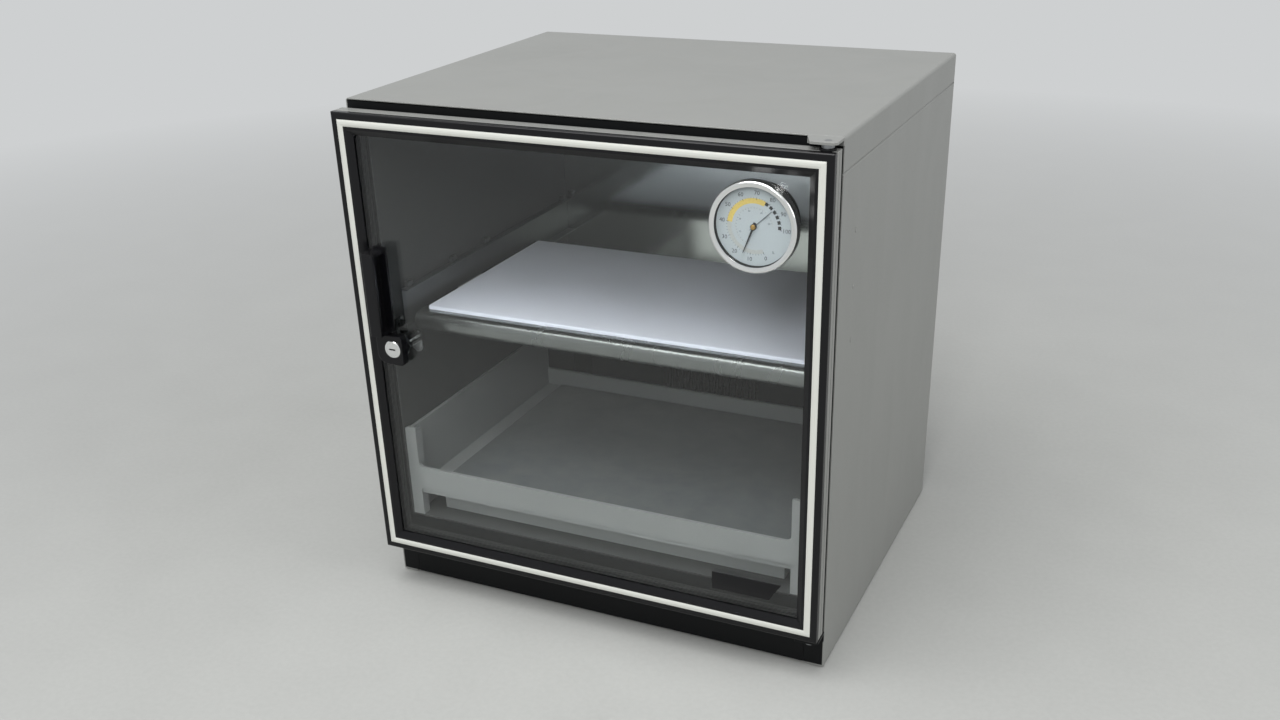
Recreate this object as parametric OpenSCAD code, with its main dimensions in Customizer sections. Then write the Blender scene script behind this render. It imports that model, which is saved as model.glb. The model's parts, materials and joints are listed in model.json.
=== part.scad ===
// Camera dry cabinet: a sheet-metal cabinet with a glazed door, a thermo-hygrometer set in
// the glass, a pull-out shelf, a moulded rack and a desiccant dry unit with coupled shutters.
// Each module gives its sizes from the middle of the width, the floor and the front plane
// of the body, and at_front() moves them so that the whole cabinet is centred front to back.

/* [Cabinet] */
// Overall width of the cabinet
body_w = 408; // [390:1:430]
// Height from the floor to the top cover
body_h = 435; // [425:1:460]
// Depth of the body behind its front plane
body_d = 329; // [322:1:350]
// Thickness of the outer sheet metal
sheet_t = 1; // [0.8:0.1:1.2]
// Height of the side skirts of the top cover
skirt_h = 24.4; // [20:0.2:30]
// Height of the plinth under the door
plinth_h = 37; // [35:0.5:40]
// Distance from an outer side to the inside of the chamber
side_wall_w = 18; // [17.5:0.1:20]
// Height of the chamber floor over the plinth
floor_rise = 28; // [24:0.5:31]
// Distance from the top cover to the inside of the ceiling
ceiling_drop = 19; // [18:0.5:22]
// Distance from the back of the body to the inside of the chamber
rear_gap = 9; // [8:0.5:10]
// Thickness of the inner lining
liner_t = 0.8; // [0.6:0.1:1]
// Depth of the flange that turns into the chamber behind the door
return_d = 14; // [10:0.5:15]
// Diameter of the rubber feet
foot_d = 16; // [12:1:20]
// Height of the rubber feet
foot_h = 1.5; // [1:0.1:2]

/* [Door] */
// Gap between the door's top and the top of the cabinet
door_drop = 6.5; // [6:0.1:8]
// Space between the body and the back of the door, filled by the gasket
seal_gap = 4; // [3.6:0.1:4.4]
// Thickness of the door
door_t = 18; // [17.6:0.1:18.6]
// Thickness of the black front bezel
bezel_t = 5.2; // [5:0.1:5.4]
// Width of the black bezel from the door's edge to the clear glass
bezel_w = 17.5; // [17:0.1:18.5]
// Width of the black border outside the bright bead
border_w = 5.5; // [4.5:0.1:6]
// Width of the bright bead
bead_w = 5.2; // [4.5:0.1:5.5]
// Height that the bead stands proud of the bezel
bead_crown = 0.6; // [0.3:0.1:1]
// Thickness of the glass
glass_t = 4; // [3.6:0.1:4.4]
// Depth of the glass face behind the bezel face
glass_recess = 4; // [3.6:0.1:4]
// Diameter of the hinge pins
pin_d = 5; // [4:0.5:5.5]
// Distance of the hinge axis from the door's side
hinge_inset = 8; // [7.6:0.1:8.4]
// Distance of the hinge axis from the body front plane
hinge_stand = 12; // [11.8:0.1:12.2]

/* [Handle and lock] */
// Length of the handle
handle_l = 70.5; // [60:0.5:85]
// Width of the handle
handle_w = 11; // [10:0.5:12]
// Height that the handle stands out of the glass
handle_proud = 18; // [16:0.5:22]
// Height of the handle's middle over the floor
handle_z = 285; // [280:1:300]
// Width of the lock housing
lock_w = 25; // [24:0.5:27]
// Height of the lock housing
lock_l = 26; // [24:0.5:28]
// Height that the lock housing stands out of the glass
lock_proud = 8; // [6:0.5:10]
// Diameter of the bright lock face
lock_face_d = 15; // [14:0.5:16]

/* [Thermo-hygrometer] */
// Outside diameter of the chrome ring
gauge_d = 66; // [60:1:72]
// Width of the chrome ring seen from the front
gauge_ring_w = 4.2; // [3.6:0.1:5]
// Distance of the gauge's centre from the door's hinge side
gauge_side = 56.6; // [54:0.2:62]
// Distance of the gauge's centre from the door's top
gauge_down = 55.3; // [54:0.1:65]
// Height that the ring stands out of the glass
gauge_proud = 7.8; // [7.2:0.1:9]
// Length of the humidity hand from the spindle
humidity_hand_l = 20.7; // [17:0.1:22]
// Length of the temperature hand from the spindle
temperature_hand_l = 17.8; // [15:0.1:20]

/* [Shelf] */
// Height of the shelf's top over the floor
shelf_z = 248; // [244:1:262]
// Distance of the shelf's front edge behind the body front plane
shelf_front = 30; // [29:0.5:33]
// Gap between the back of the shelf and the rear wall
shelf_rear_gap = 70; // [62:1:90]
// Height of the rolled front lip
shelf_lip_h = 17; // [14:0.5:19]
// Gap between the shelf and each chamber wall
shelf_gap = 4; // [3.6:0.1:4.6]
// Thickness of the foam mats
mat_t = 3; // [2:0.2:4]

/* [Rack] */
// Height of the rack's side walls
rack_h = 86; // [78:1:92]
// Gap between the back of the rack and the dry unit
rack_rear_gap = 1.5; // [1:0.5:12]
// Width of the front uprights
upright_w = 10.8; // [9:0.1:13]
// Height of the front bar's lower edge over the rack's feet
bar_rise = 27; // [24:0.5:30]
// Height of the front bar
bar_h = 21; // [18:0.5:24]
// Wall thickness of the moulding
rack_t = 3; // [2.4:0.1:3.4]
// Height of the tray floor over the rack's feet
tray_rise = 22; // [20:0.5:24]

/* [Dry unit] */
// Width of the dry unit
unit_w = 264; // [254:1:270]
// Height of the dry unit
unit_h = 85; // [84:0.5:90]
// Depth of the dry unit that stands in the chamber
unit_d = 60; // [59:0.2:61]
// Wall thickness of the unit's case
unit_t = 2.5; // [2.2:0.1:2.8]
// Height that the vent cover stands out of the rear panel
vent_proud = 4; // [3.4:0.1:5]

/* [Hidden] */
$fn = 48;

// How far a cutting shape runs past the face that it cuts
over = 1;
// Gap between fixed pieces that slip past each other
slip = 0.2;
// Radial running clearance of pins and spindles
run_clear = 0.05;
// Gap between a moving piece and the flat face that it slides on
slide_gap = 0.3;

// Colours
body_grey = [0.60, 0.61, 0.60];
frame_black = [0.09, 0.09, 0.10];
liner_grey = [0.27, 0.28, 0.28];
bright_metal = [0.82, 0.83, 0.82];
steel = [0.66, 0.67, 0.68];
rubber_black = [0.06, 0.06, 0.06];

half_w = body_w / 2;
// The front of the body lies this far behind the middle of the whole depth
body_front = -(body_d + vent_proud - (seal_gap + door_t - glass_recess + handle_proud)) / 2;
chamber_x = half_w - side_wall_w;
chamber_floor = plinth_h + floor_rise;
chamber_top = body_h - ceiling_drop;
chamber_back = body_d - rear_gap;

// Outer sheets
bend_r = 2.5;
flange_w = 14;
jog = sheet_t + slip;
panel_top_overlap = 19.5;
hem_drop = 4;

// Front frame
frame_t = 1.2;
frame_top = body_h - 2 * sheet_t;
opening_x = chamber_x + liner_t + slip;
opening_bottom = chamber_floor - liner_t - slip;
opening_top = chamber_top + liner_t + slip;

// Door planes, from the body front plane
door_x = half_w;
door_top = body_h - door_drop;
door_bottom = plinth_h + 0.5 * sheet_t;
door_back = -seal_gap;
door_front = -seal_gap - door_t;
bezel_back = door_front + bezel_t;
glass_front = door_front + glass_recess;
glass_back = glass_front + glass_t;
bezel_edge_r = 1.6;
bead_seat = 1;
bevel_start = 2.3;
lip_t = 1.2;
rabbet_w = 4.8;
rabbet_u = bezel_w - rabbet_w;
rear_frame_w = rabbet_u - slip;
groove_w = 1;
groove_d = 0.8;
rear_edge = 1.5;
retainer_w = bezel_w - 0.5 * lip_t;
retainer_rib = 1.2;
retainer_ribs = 3;
rib_shares = [0.6, 0.7, 0.9];
seal_out = 8.5;
seal_in = 15.5;
seal_fold = 1.2;
fold_shares = [0.2, 0.4, 0.6];

// Hinges
hinge_x = half_w - hinge_inset;
hinge_y = -hinge_stand;
bush_d = 9;
bush_flange_d = 12;
bush_flange_t = 1.5;
bush_l = 14;
bracket_t = 2;
bracket_w = 26;
bracket_taper = 5.5;
bracket_nose = 6.5;
bracket_reach = hinge_stand + bracket_nose;
bracket_corner = 3;
top_leg_gap = 0.8;
bottom_leg = 6.5;
lower_ear_gap = 2;

// Handle and lock
handle_gap = 4.7;
handle_x = -half_w + bezel_w + handle_gap;
handle_lip_t = 3.5;
handle_web_w = 5.5;
handle_base_t = 2;
handle_base_more = 2;
handle_end_t = 3;
handle_edge_r = 1.5;
handle_screw_d = 4;
handle_screw_inset = 12;
screw_head_d = 8;
screw_head_t = 2.5;
lock_gap = 1.5;
lock_side_gap = 2.5;
lock_left = -half_w + bezel_w + lock_side_gap;
lock_top = handle_z - handle_l / 2 - lock_gap;
lock_corner = 9;
lock_small_corner = 3;
barrel_side = 9.2;
barrel_down = 11.8;
lock_x = lock_left + lock_w - barrel_side;
lock_z = lock_top - barrel_down;
barrel_d = 13;
plug_d = 11;
lock_rim = 1;
lock_tail_d = 6;
barrel_end = 7;
cam_plane = 10.6;
cam_t = 1.6;
cam_w = 10;
cam_l = 10;
key_slot = [6, 1.3];
key_depth = 8;
nut_d = 20;
nut_t = 3;
strike_t = 1.2;
strike_plane = 8;
strike_depth = 18;
strike_half = 13;
ear_reach = 9.3;

// Thermo-hygrometer, planes from the body front plane
gauge_x = half_w - gauge_side;
gauge_z = door_top - gauge_down;
gauge_r = gauge_d / 2;
gauge_front = glass_front - gauge_proud;
ring_skin = 1.4;
ring_edge_r = 1.8;
lens_t = 1.2;
lens_front = gauge_front + ring_skin;
rim_front = lens_front + lens_t;
case_r = gauge_r - ring_skin - slip;
case_wall = 2;
case_step = 4.8;
case_back_r = case_r - case_step;
case_back = 4;
dial_t = 0.8;
dial_drop = 2.4;
dial_front = rim_front + dial_drop;
dial_back = dial_front + dial_t;
case_front_wall = 2.8;
dial_r = case_r - case_front_wall;
spindle_r = 0.75;
pipe_r = 1.3;
dial_hole_r = 1.6;
hub_r = 2.2;
hand_t = 0.4;
hand_gap = 0.4;
humidity_angle = 201.6;
temperature_angle = 47.7;
coil_turns = 5;
coil_strip = 0.5;
coil_steps = 24;
coil_w = 4;

// Shelf and its rails
shelf_x = chamber_x - shelf_gap;
shelf_d = chamber_back - shelf_front - shelf_rear_gap;
shelf_t = 1;
shelf_roll = 3;
shelf_side_h = 8;
shelf_return = 6;
mat_inset = 6;
mat_front_inset = 12;
mat_back_inset = 10;
mat_corner = 3;
rail_t = 1.1;
rail_up = 24;
rail_lip = 7;
rail_start = 20;
ledge_w = 10;
rail_clip_l = 8;
rail_clip_w = 3.5;
rail_clip_h = 5;
rail_clip_shares = [0.02, 0.26, 0.46, 0.98];

// Rack
rack_gap = 1.2;
rack_x = chamber_x - rack_gap;
rack_front = 1;
rack_base = chamber_floor + slide_gap;
upright_r = 3;
bar_r = 5;
skirt_in = 22;
skirt_back = 19;
rack_rear_h = 20;
rack_mat_side = 20;
rack_mat_front = 31;
rack_mat_back = 6;

// Dry unit
unit_x = unit_w / 2;
unit_front = chamber_back - unit_d;
unit_base = chamber_floor + slip;
unit_top = unit_base + unit_h;
unit_back = body_d - sheet_t - 2 * slip;
grille_t = unit_t;
rack_d = unit_front - grille_t - rack_rear_gap - rack_front;
duct_x = 56;
duct_t = 2.5;
window_drop = 8;
window_top = unit_top - window_drop;
window_h = 26;
slot_w = 3;
slot_pitch = 7;
slot_inset = 12;
flap_pin_r = 1.5;
flap_drop = 6;
flap_z = unit_top - flap_drop;
flap_l = 28;
flap_t = 1.5;
flap_open = 40;
flap_side = 0.6;
flap_pin_gap = 5;
inner_flap_y = unit_front + flap_pin_gap;
outer_flap_y = unit_back - unit_t - flap_pin_gap;
cartridge = [100, 28, 42];
heater_gap = 2;
heater_t = 2;
board = [48, 1.6, 54];
board_x = 76;
chip_h = 12;
spring_d = 6;
spring_wall = 1;
spring_l = 30;
post_d = 3.6;
vent_x = 62;
vent_margin = 5;
blade_t = 1;
blade_count = 5;
blade_fall_share = 0.6;
inlet = [24, 16];
inlet_x = 100;
inlet_rise = 25;
inlet_z = unit_base + inlet_rise;
inlet_depth = 16;
board_back = body_d - inlet_depth - over;
inlet_flange = 4;
inlet_pin_d = 2.4;
inlet_pin_gap = 8.6;
lamp_d = 5;
lamp_rise = 66;

// Small fixings
rivet_d = 4;
rivet_t = 0.3;
rivet_y = 37;
rivet_top = 360;
rivet_pitch = 42.5;
rivet_count = 3;
rear_screw_d = 7;
rear_screw_t = 2;
rear_screw_inset = 8;
foot_inset = 30;

// Points of an arc in a profile
function arc(c, r, a0, a1, n) =
    [for (i = [0:n]) let (a = a0 + (a1 - a0) * i / n) [c[0] + r * cos(a), c[1] + r * sin(a)]];

module at_front() {
    translate([0, body_front, 0]) children();
}

module block(lo, hi) {
    translate(lo) cube(hi - lo);
}

// Extrudes a profile drawn in y and z along x
module along_x(x0, x1) {
    translate([x0, 0, 0]) rotate([90, 0, 90]) linear_extrude(x1 - x0) children();
}

// Extrudes an outline drawn in x and z along y
module along_y(y0, y1) {
    translate([0, y1, 0]) rotate([90, 0, 0]) linear_extrude(y1 - y0) children();
}

module along_z(z0, z1) {
    translate([0, 0, z0]) linear_extrude(z1 - z0) children();
}

module rod_y(x, z, y0, y1, r) {
    along_y(y0, y1) translate([x, z]) circle(r);
}

module rod_x(y, z, x0, x1, r) {
    along_x(x0, x1) translate([y, z]) circle(r);
}

module rod_z(x, y, z0, z1, r) {
    along_z(z0, z1) translate([x, y]) circle(r);
}

// Turns a profile of radius and depth about the y axis through x, z
module turned_y(x, z) {
    translate([x, 0, z]) rotate([-90, 0, 0]) rotate_extrude() children();
}

module rect(lo, hi) {
    translate(lo) square(hi - lo);
}

// Rectangle with four corner radii: low left, low right, high right, high left
module round_rect(lo, hi, r) {
    c = [[lo[0] + r[0], lo[1] + r[0]], [hi[0] - r[1], lo[1] + r[1]],
        [hi[0] - r[2], hi[1] - r[2]], [lo[0] + r[3], hi[1] - r[3]]];
    polygon([[c[0][0], lo[1]], [c[1][0], lo[1]], [hi[0], c[1][1]], [hi[0], c[2][1]],
        [c[2][0], hi[1]], [c[3][0], hi[1]], [lo[0], c[3][1]], [lo[0], c[0][1]]]);
    for (i = [0:3])
        if (r[i] > 0) translate(c[i]) circle(r[i]);
}

// Solid inside the door's outline, moved in by a depth that changes along y.
// The edge is a list of [y, depth] points from front to back.
module inset_slab(edge) {
    n = len(edge) - 1;
    intersection() {
        along_z(door_bottom, door_top)
            polygon(concat([for (p = edge) [p[1] - door_x, p[0]]],
                [for (i = [n:-1:0]) [door_x - edge[i][1], edge[i][0]]]));
        along_x(-door_x, door_x)
            polygon(concat([for (p = edge) [p[0], door_bottom + p[1]]],
                [for (i = [n:-1:0]) [edge[i][0], door_top - edge[i][1]]]));
    }
}

// Ring round the door between an outer and an inner edge
module door_ring(outer, inner) {
    last = len(inner) - 1;
    difference() {
        inset_slab(outer);
        inset_slab(concat([[inner[0][0] - over, inner[0][1]]], inner,
            [[inner[last][0] + over, inner[last][1]]]));
    }
}

// Outer shell

module top_cover() {
    color(body_grey) at_front() {
        difference() {
            along_y(-sheet_t - slip, body_d - sheet_t) difference() {
                round_rect([-half_w, body_h - skirt_h], [half_w, body_h],
                    [0, 0, bend_r, bend_r]);
                round_rect([sheet_t - half_w, body_h - skirt_h - over],
                    [half_w - sheet_t, body_h - sheet_t],
                    [0, 0, bend_r - sheet_t, bend_r - sheet_t]);
            }
            // notch for the upper hinge bracket, and the skirts stop at the front plane
            block([half_w - bracket_w - slip, -sheet_t - over, body_h - skirt_h - over],
                [half_w + over, 0, body_h + over]);
            block([-half_w - over, -sheet_t - over, body_h - skirt_h - over],
                [half_w + over, 0, body_h - hem_drop]);
        }
        // hem that hangs over the front frame
        along_y(-sheet_t - slip, -slip)
            round_rect([-half_w, body_h - hem_drop], [half_w - bracket_w - slip, body_h],
                [0, 0, 0, bend_r]);
    }
}

module side_panel() {
    at_front() {
        seam = body_h - skirt_h - 0.5 * sheet_t;
        difference() {
            along_y(0, body_d - sheet_t)
                polygon([[half_w - flange_w, foot_h], [half_w, foot_h], [half_w, seam - jog],
                    [half_w - jog, seam], [half_w - jog, seam + panel_top_overlap],
                    [half_w - jog - sheet_t, seam + panel_top_overlap],
                    [half_w - jog - sheet_t, seam], [half_w - sheet_t, seam - jog],
                    [half_w - sheet_t, foot_h + sheet_t],
                    [half_w - flange_w, foot_h + sheet_t]]);
            // the tongue under the top cover stops behind the front frame
            block([half_w - flange_w, -over, seam - jog], [half_w - sheet_t, frame_t + slip,
                seam + panel_top_overlap + over]);
        }
        // rear flange that the rear panel screws to
        block([half_w - flange_w, body_d - 2 * sheet_t, foot_h],
            [half_w - sheet_t / 2, body_d - sheet_t, seam - jog]);
    }
}

module left_side_panel() {
    color(body_grey) mirror([1, 0, 0]) side_panel();
}

module right_side_panel() {
    color(body_grey) side_panel();
}

module vent_window() {
    rect([-duct_x, window_top - window_h], [duct_x, window_top]);
}

module inlet_outline(grow) {
    r = inlet[1] / 2 + grow;
    round_rect([inlet_x - inlet[0] / 2 - grow, inlet_z - r],
        [inlet_x + inlet[0] / 2 + grow, inlet_z + r], [r, r, r, r]);
}

module rear_panel() {
    color(body_grey) at_front() {
        along_y(body_d - sheet_t, body_d) difference() {
            round_rect([-half_w, foot_h], [half_w, body_h],
                [bend_r, bend_r, bend_r, bend_r]);
            vent_window();
            inlet_outline(slip);
        }
    }
}

module base_pan() {
    color(liner_grey) at_front() {
        x = half_w - sheet_t - slip;
        difference() {
            block([-x, return_d, plinth_h], [x, body_d - 2 * sheet_t - slip,
                plinth_h + floor_rise / 2]);
            block([sheet_t - x, return_d - over, plinth_h + sheet_t],
                [x - sheet_t, body_d, plinth_h + floor_rise]);
        }
    }
}

module plinth_front() {
    color(frame_black) at_front()
        along_x(slip - opening_x, opening_x - slip)
            polygon([[0, foot_h + sheet_t], [flange_w, foot_h + sheet_t],
                [flange_w, foot_h + sheet_t + frame_t], [frame_t, foot_h + sheet_t + frame_t],
                [frame_t, plinth_h - frame_t - slip], [flange_w, plinth_h - frame_t - slip],
                [flange_w, plinth_h - slip], [0, plinth_h - slip]]);
}

module front_frame() {
    color(frame_black) at_front() {
        x = half_w - sheet_t - slip;
        // face with its two stiles down to the floor
        along_y(0, frame_t) difference() {
            rect([-x, foot_h + sheet_t + slip], [x, frame_top]);
            rect([-opening_x, opening_bottom], [opening_x, opening_top]);
            rect([-opening_x, 0], [opening_x, plinth_h]);
        }
        // return flange round the opening
        along_y(0, return_d) difference() {
            rect([-opening_x - frame_t, opening_bottom - frame_t],
                [opening_x + frame_t, opening_top + frame_t]);
            rect([-opening_x, opening_bottom], [opening_x, opening_top]);
        }
    }
}

// Chamber lining

module liner_side() {
    at_front() {
        along_z(chamber_floor, chamber_top)
            polygon([[chamber_x, frame_t], [chamber_x + liner_t, frame_t],
                [chamber_x + liner_t, chamber_back - liner_t],
                [chamber_x + flange_w / 2, chamber_back - liner_t],
                [chamber_x + flange_w / 2, chamber_back], [chamber_x, chamber_back]]);
    }
}

module liner_left() {
    color(liner_grey) mirror([1, 0, 0]) liner_side();
}

module liner_right() {
    color(liner_grey) liner_side();
}

module liner_ceiling() {
    color(liner_grey) at_front()
        along_x(-chamber_x - liner_t, chamber_x + liner_t)
            polygon([[frame_t, chamber_top], [chamber_back, chamber_top],
                [chamber_back, chamber_top + flange_w / 2],
                [chamber_back - liner_t, chamber_top + flange_w / 2],
                [chamber_back - liner_t, chamber_top + liner_t],
                [frame_t, chamber_top + liner_t]]);
}

module liner_floor() {
    color(liner_grey) at_front()
        along_x(-chamber_x - liner_t, chamber_x + liner_t)
            polygon([[frame_t, chamber_floor], [chamber_back, chamber_floor],
                [chamber_back, chamber_floor - flange_w / 2],
                [chamber_back - liner_t, chamber_floor - flange_w / 2],
                [chamber_back - liner_t, chamber_floor - liner_t],
                [frame_t, chamber_floor - liner_t]]);
}

module liner_rear() {
    color(bright_metal) at_front()
        along_y(chamber_back, chamber_back + liner_t) difference() {
            rect([-chamber_x - flange_w / 2, chamber_floor - flange_w / 2],
                [chamber_x + flange_w / 2, chamber_top + flange_w / 2]);
            rect([-unit_x - slip, unit_base - slip], [unit_x + slip, unit_top + slip]);
        }
}

module shelf_rail() {
    run = chamber_back - rail_start;
    at_front() {
        foot = shelf_z - shelf_side_h - slip - rail_t;
        // channel: ledge under the shelf, web on the wall, lip over the shelf
        along_y(rail_start, chamber_back - slip)
            polygon([[-chamber_x, foot], [rail_t - chamber_x, foot],
                [rail_t - chamber_x, shelf_z + rail_up - rail_t],
                [rail_lip - chamber_x, shelf_z + rail_up - rail_t],
                [rail_lip - chamber_x, shelf_z + rail_up],
                [-chamber_x, shelf_z + rail_up]]);
        block([-chamber_x, shelf_front + 2 * shelf_roll, foot],
            [ledge_w - chamber_x, chamber_back - slip, foot + rail_t]);
        // spring clips that hold the channel to the wall
        for (s = rail_clip_shares)
            translate([-chamber_x, rail_start + s * (run - rail_clip_l), shelf_z + rail_up])
                along_y(0, rail_clip_l)
                    round_rect([0, 0], [rail_clip_w, rail_clip_h],
                        [0, 0, rail_clip_w / 2, 0]);
    }
}

module shelf_rail_left() {
    color(steel) shelf_rail();
}

module shelf_rail_right() {
    color(steel) mirror([1, 0, 0]) shelf_rail();
}

// Hinges

module bracket_outline() {
    x0 = half_w - bracket_w;
    polygon([[x0, 0], [x0, -bracket_t], [x0 + bracket_taper, bracket_corner - bracket_reach],
        [x0 + bracket_taper + bracket_corner / 2, -bracket_reach],
        [half_w - bracket_corner, -bracket_reach],
        [half_w, bracket_corner - bracket_reach], [half_w, 0]]);
}

module hinge_bracket_top() {
    color(body_grey) at_front() difference() {
        union() {
            along_z(body_h - bracket_t, body_h) bracket_outline();
            block([half_w - bracket_w, -bracket_t, door_top + top_leg_gap],
                [half_w, 0, body_h - bracket_t / 2]);
        }
        rod_z(hinge_x, hinge_y, body_h - bracket_t - over, body_h + over, pin_d / 2);
    }
}

module hinge_bracket_bottom() {
    ear = door_bottom - lower_ear_gap;
    color(frame_black) at_front() difference() {
        union() {
            along_z(ear - bracket_t, ear) bracket_outline();
            block([half_w - bracket_w, -bracket_t, ear - bracket_t - bottom_leg],
                [half_w, 0, ear - bracket_t / 2]);
        }
        rod_z(hinge_x, hinge_y, ear - bracket_t - over, ear + over, pin_d / 2);
    }
}

module hinge_pin_top() {
    shoulder = door_top + bush_flange_t + slip;
    color(steel) at_front() {
        rod_z(hinge_x, hinge_y, door_top - bush_l + over, body_h, pin_d / 2);
        rod_z(hinge_x, hinge_y, shoulder, body_h - bracket_t, bush_d / 2);
    }
}

module hinge_pin_bottom() {
    ear = door_bottom - lower_ear_gap;
    color(steel) at_front() {
        rod_z(hinge_x, hinge_y, ear - bracket_t, door_bottom + bush_l - over, pin_d / 2);
        rod_z(hinge_x, hinge_y, ear - 2 * bracket_t, ear - bracket_t, bush_d / 2);
    }
}

module hinge_bushes() {
    color(bright_metal) at_front() difference() {
        union() {
            rod_z(hinge_x, hinge_y, door_top - bush_l, door_top + slip, bush_d / 2);
            rod_z(hinge_x, hinge_y, door_top, door_top + bush_flange_t, bush_flange_d / 2);
            rod_z(hinge_x, hinge_y, door_bottom - slip, door_bottom + bush_l, bush_d / 2);
            rod_z(hinge_x, hinge_y, door_bottom - lower_ear_gap + slip, door_bottom,
                bush_flange_d / 2);
        }
        rod_z(hinge_x, hinge_y, door_top - bush_l - over, body_h, pin_d / 2 + run_clear);
        rod_z(hinge_x, hinge_y, foot_h, door_bottom + bush_l + over, pin_d / 2 + run_clear);
    }
}

// Fixings and feet

module feet() {
    color(rubber_black) at_front()
        for (x = [-1, 1], y = [foot_inset, body_d - foot_inset])
            rod_z(x * (half_w - foot_d / 2 - sheet_t), y, 0, foot_h, foot_d / 2);
}

module rear_screws() {
    x = half_w - rear_screw_inset;
    color(steel) at_front()
        for (side = [-1, 1], i = [0:3]) {
            z = foot_h + 2 * foot_d + i * (body_h - skirt_h - 3 * foot_d) / 3;
            turned_y(side * x, z)
                polygon([[0, body_d], [rear_screw_d / 2, body_d],
                    [rear_screw_d / 2, body_d + rear_screw_t / 3],
                    [rear_screw_d / 3, body_d + rear_screw_t], [0, body_d + rear_screw_t]]);
        }
}

module side_rivets() {
    color(body_grey) at_front()
        for (side = [-1, 1], i = [0:rivet_count - 1])
            translate([0, rivet_y, rivet_top - i * rivet_pitch])
                rod_x(0, 0, side > 0 ? half_w : -half_w - rivet_t,
                    side > 0 ? half_w + rivet_t : -half_w, rivet_d / 2);
}

// Dry unit

module duct_walls() {
    for (side = [-1, 1])
        block([side > 0 ? duct_x : -duct_x - duct_t, unit_front + unit_t, unit_base + unit_t / 2],
            [side > 0 ? duct_x + duct_t : -duct_x, unit_back - unit_t / 2,
                unit_top - unit_t / 2]);
}

module dry_unit_case() {
    color(frame_black) at_front() difference() {
        union() {
            difference() {
                block([-unit_x, unit_front, unit_base], [unit_x, unit_back, unit_top]);
                block([unit_t - unit_x, unit_front - over, unit_base + unit_t],
                    [unit_x - unit_t, unit_back - unit_t, unit_top - unit_t]);
            }
            duct_walls();
            // posts that carry the two springs
            for (side = [-1, 1])
                rod_y(side * (duct_x + duct_t + spring_d), flap_z - 2 * spring_d,
                    unit_back - unit_t - spring_l - slip, unit_back - unit_t / 2, post_d / 2);
            // standoffs of the timer board
            for (x = [board_x + post_d, board_x + board[0] - post_d])
                rod_y(x, unit_base + unit_t + board[2] - post_d,
                    board_back, unit_back - unit_t / 2, post_d / 2);
        }
        along_y(unit_back - unit_t - over, unit_back + over) vent_window();
        along_y(unit_back - unit_t - over, unit_back + over) inlet_outline(slip);
        for (y = [inner_flap_y, outer_flap_y])
            rod_x(y, flap_z, -duct_x - duct_t - over, duct_x + duct_t + over,
                flap_pin_r + run_clear);
    }
}

module dry_unit_grille() {
    n = floor((duct_x - slot_w) / slot_pitch);
    color(frame_black) at_front() difference() {
        along_y(unit_front - grille_t, unit_front)
            round_rect([-unit_x, unit_base], [unit_x, unit_top],
                [bend_r, bend_r, bend_r, bend_r]);
        for (i = [-n:n])
            along_y(unit_front - grille_t - over, unit_front + over)
                rect([i * slot_pitch - slot_w / 2, unit_base + slot_inset],
                    [i * slot_pitch + slot_w / 2, unit_top - slot_inset]);
        rod_y(inlet_x, unit_base + lamp_rise, unit_front - grille_t - over, unit_front + over,
            lamp_d / 2);
    }
}

module desiccant_cartridge() {
    y0 = unit_front + unit_d / 2 - cartridge[1] / 2;
    z0 = unit_base + unit_t;
    n = floor(cartridge[0] / 2 / slot_pitch) - 1;
    color("white") at_front() difference() {
        block([-cartridge[0] / 2, y0, z0], [cartridge[0] / 2, y0 + cartridge[1],
            z0 + cartridge[2]]);
        for (i = [-n:n])
            block([i * slot_pitch - slot_w / 2, y0 - over, z0 + slot_w],
                [i * slot_pitch + slot_w / 2, y0 + cartridge[1] + over,
                    z0 + cartridge[2] - slot_w]);
    }
}

module heater_plate() {
    y0 = unit_front + unit_d / 2 + cartridge[1] / 2 + heater_gap;
    z0 = unit_base + unit_t;
    color(steel) at_front() {
        block([-cartridge[0] / 2, y0, z0], [cartridge[0] / 2, y0 + heater_t,
            z0 + cartridge[2]]);
        for (i = [-1, 0, 1])
            block([i * cartridge[0] / 3 - heater_t / 2, y0 + heater_t / 2, z0],
                [i * cartridge[0] / 3 + heater_t / 2, y0 + 3 * heater_t,
                    z0 + cartridge[2] - heater_t]);
    }
}

module timer_board() {
    y1 = board_back;
    z0 = unit_base + unit_t;
    color("darkgreen") at_front() {
        block([board_x, y1 - board[1], z0], [board_x + board[0], y1, z0 + board[2]]);
        for (i = [0:2])
            block([board_x + (i + 1) * board[0] / 4 - chip_h / 4, y1 - board[1] - chip_h,
                z0 + board[2] / 2],
                [board_x + (i + 1) * board[0] / 4 + chip_h / 4, y1 - board[1] / 2,
                    z0 + board[2] / 2 + chip_h]);
    }
}

module tube_spring(side) {
    y1 = unit_back - unit_t;
    at_front() difference() {
        rod_y(side * (duct_x + duct_t + spring_d), flap_z - 2 * spring_d, y1 - spring_l, y1,
            spring_d / 2);
        rod_y(side * (duct_x + duct_t + spring_d), flap_z - 2 * spring_d, y1 - spring_l - over,
            y1 + over, spring_d / 2 - spring_wall);
    }
}

module memory_spring() {
    color("goldenrod") tube_spring(1);
}

module bias_spring() {
    color(steel) tube_spring(-1);
}

// Flap that hangs from a pin along x; tilt swings its lower edge to the back
module flap(y, tilt) {
    x = duct_x - flap_side;
    at_front() translate([0, y, flap_z]) {
        rod_x(0, 0, -duct_x - duct_t, duct_x + duct_t, flap_pin_r);
        rotate([tilt, 0, 0]) block([-x, -flap_t / 2, -flap_l], [x, flap_t / 2, 0]);
    }
}

module inner_shutter() {
    color("khaki") flap(inner_flap_y, flap_open);
}

module outer_shutter() {
    color("khaki") flap(outer_flap_y, 0);
}

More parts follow.
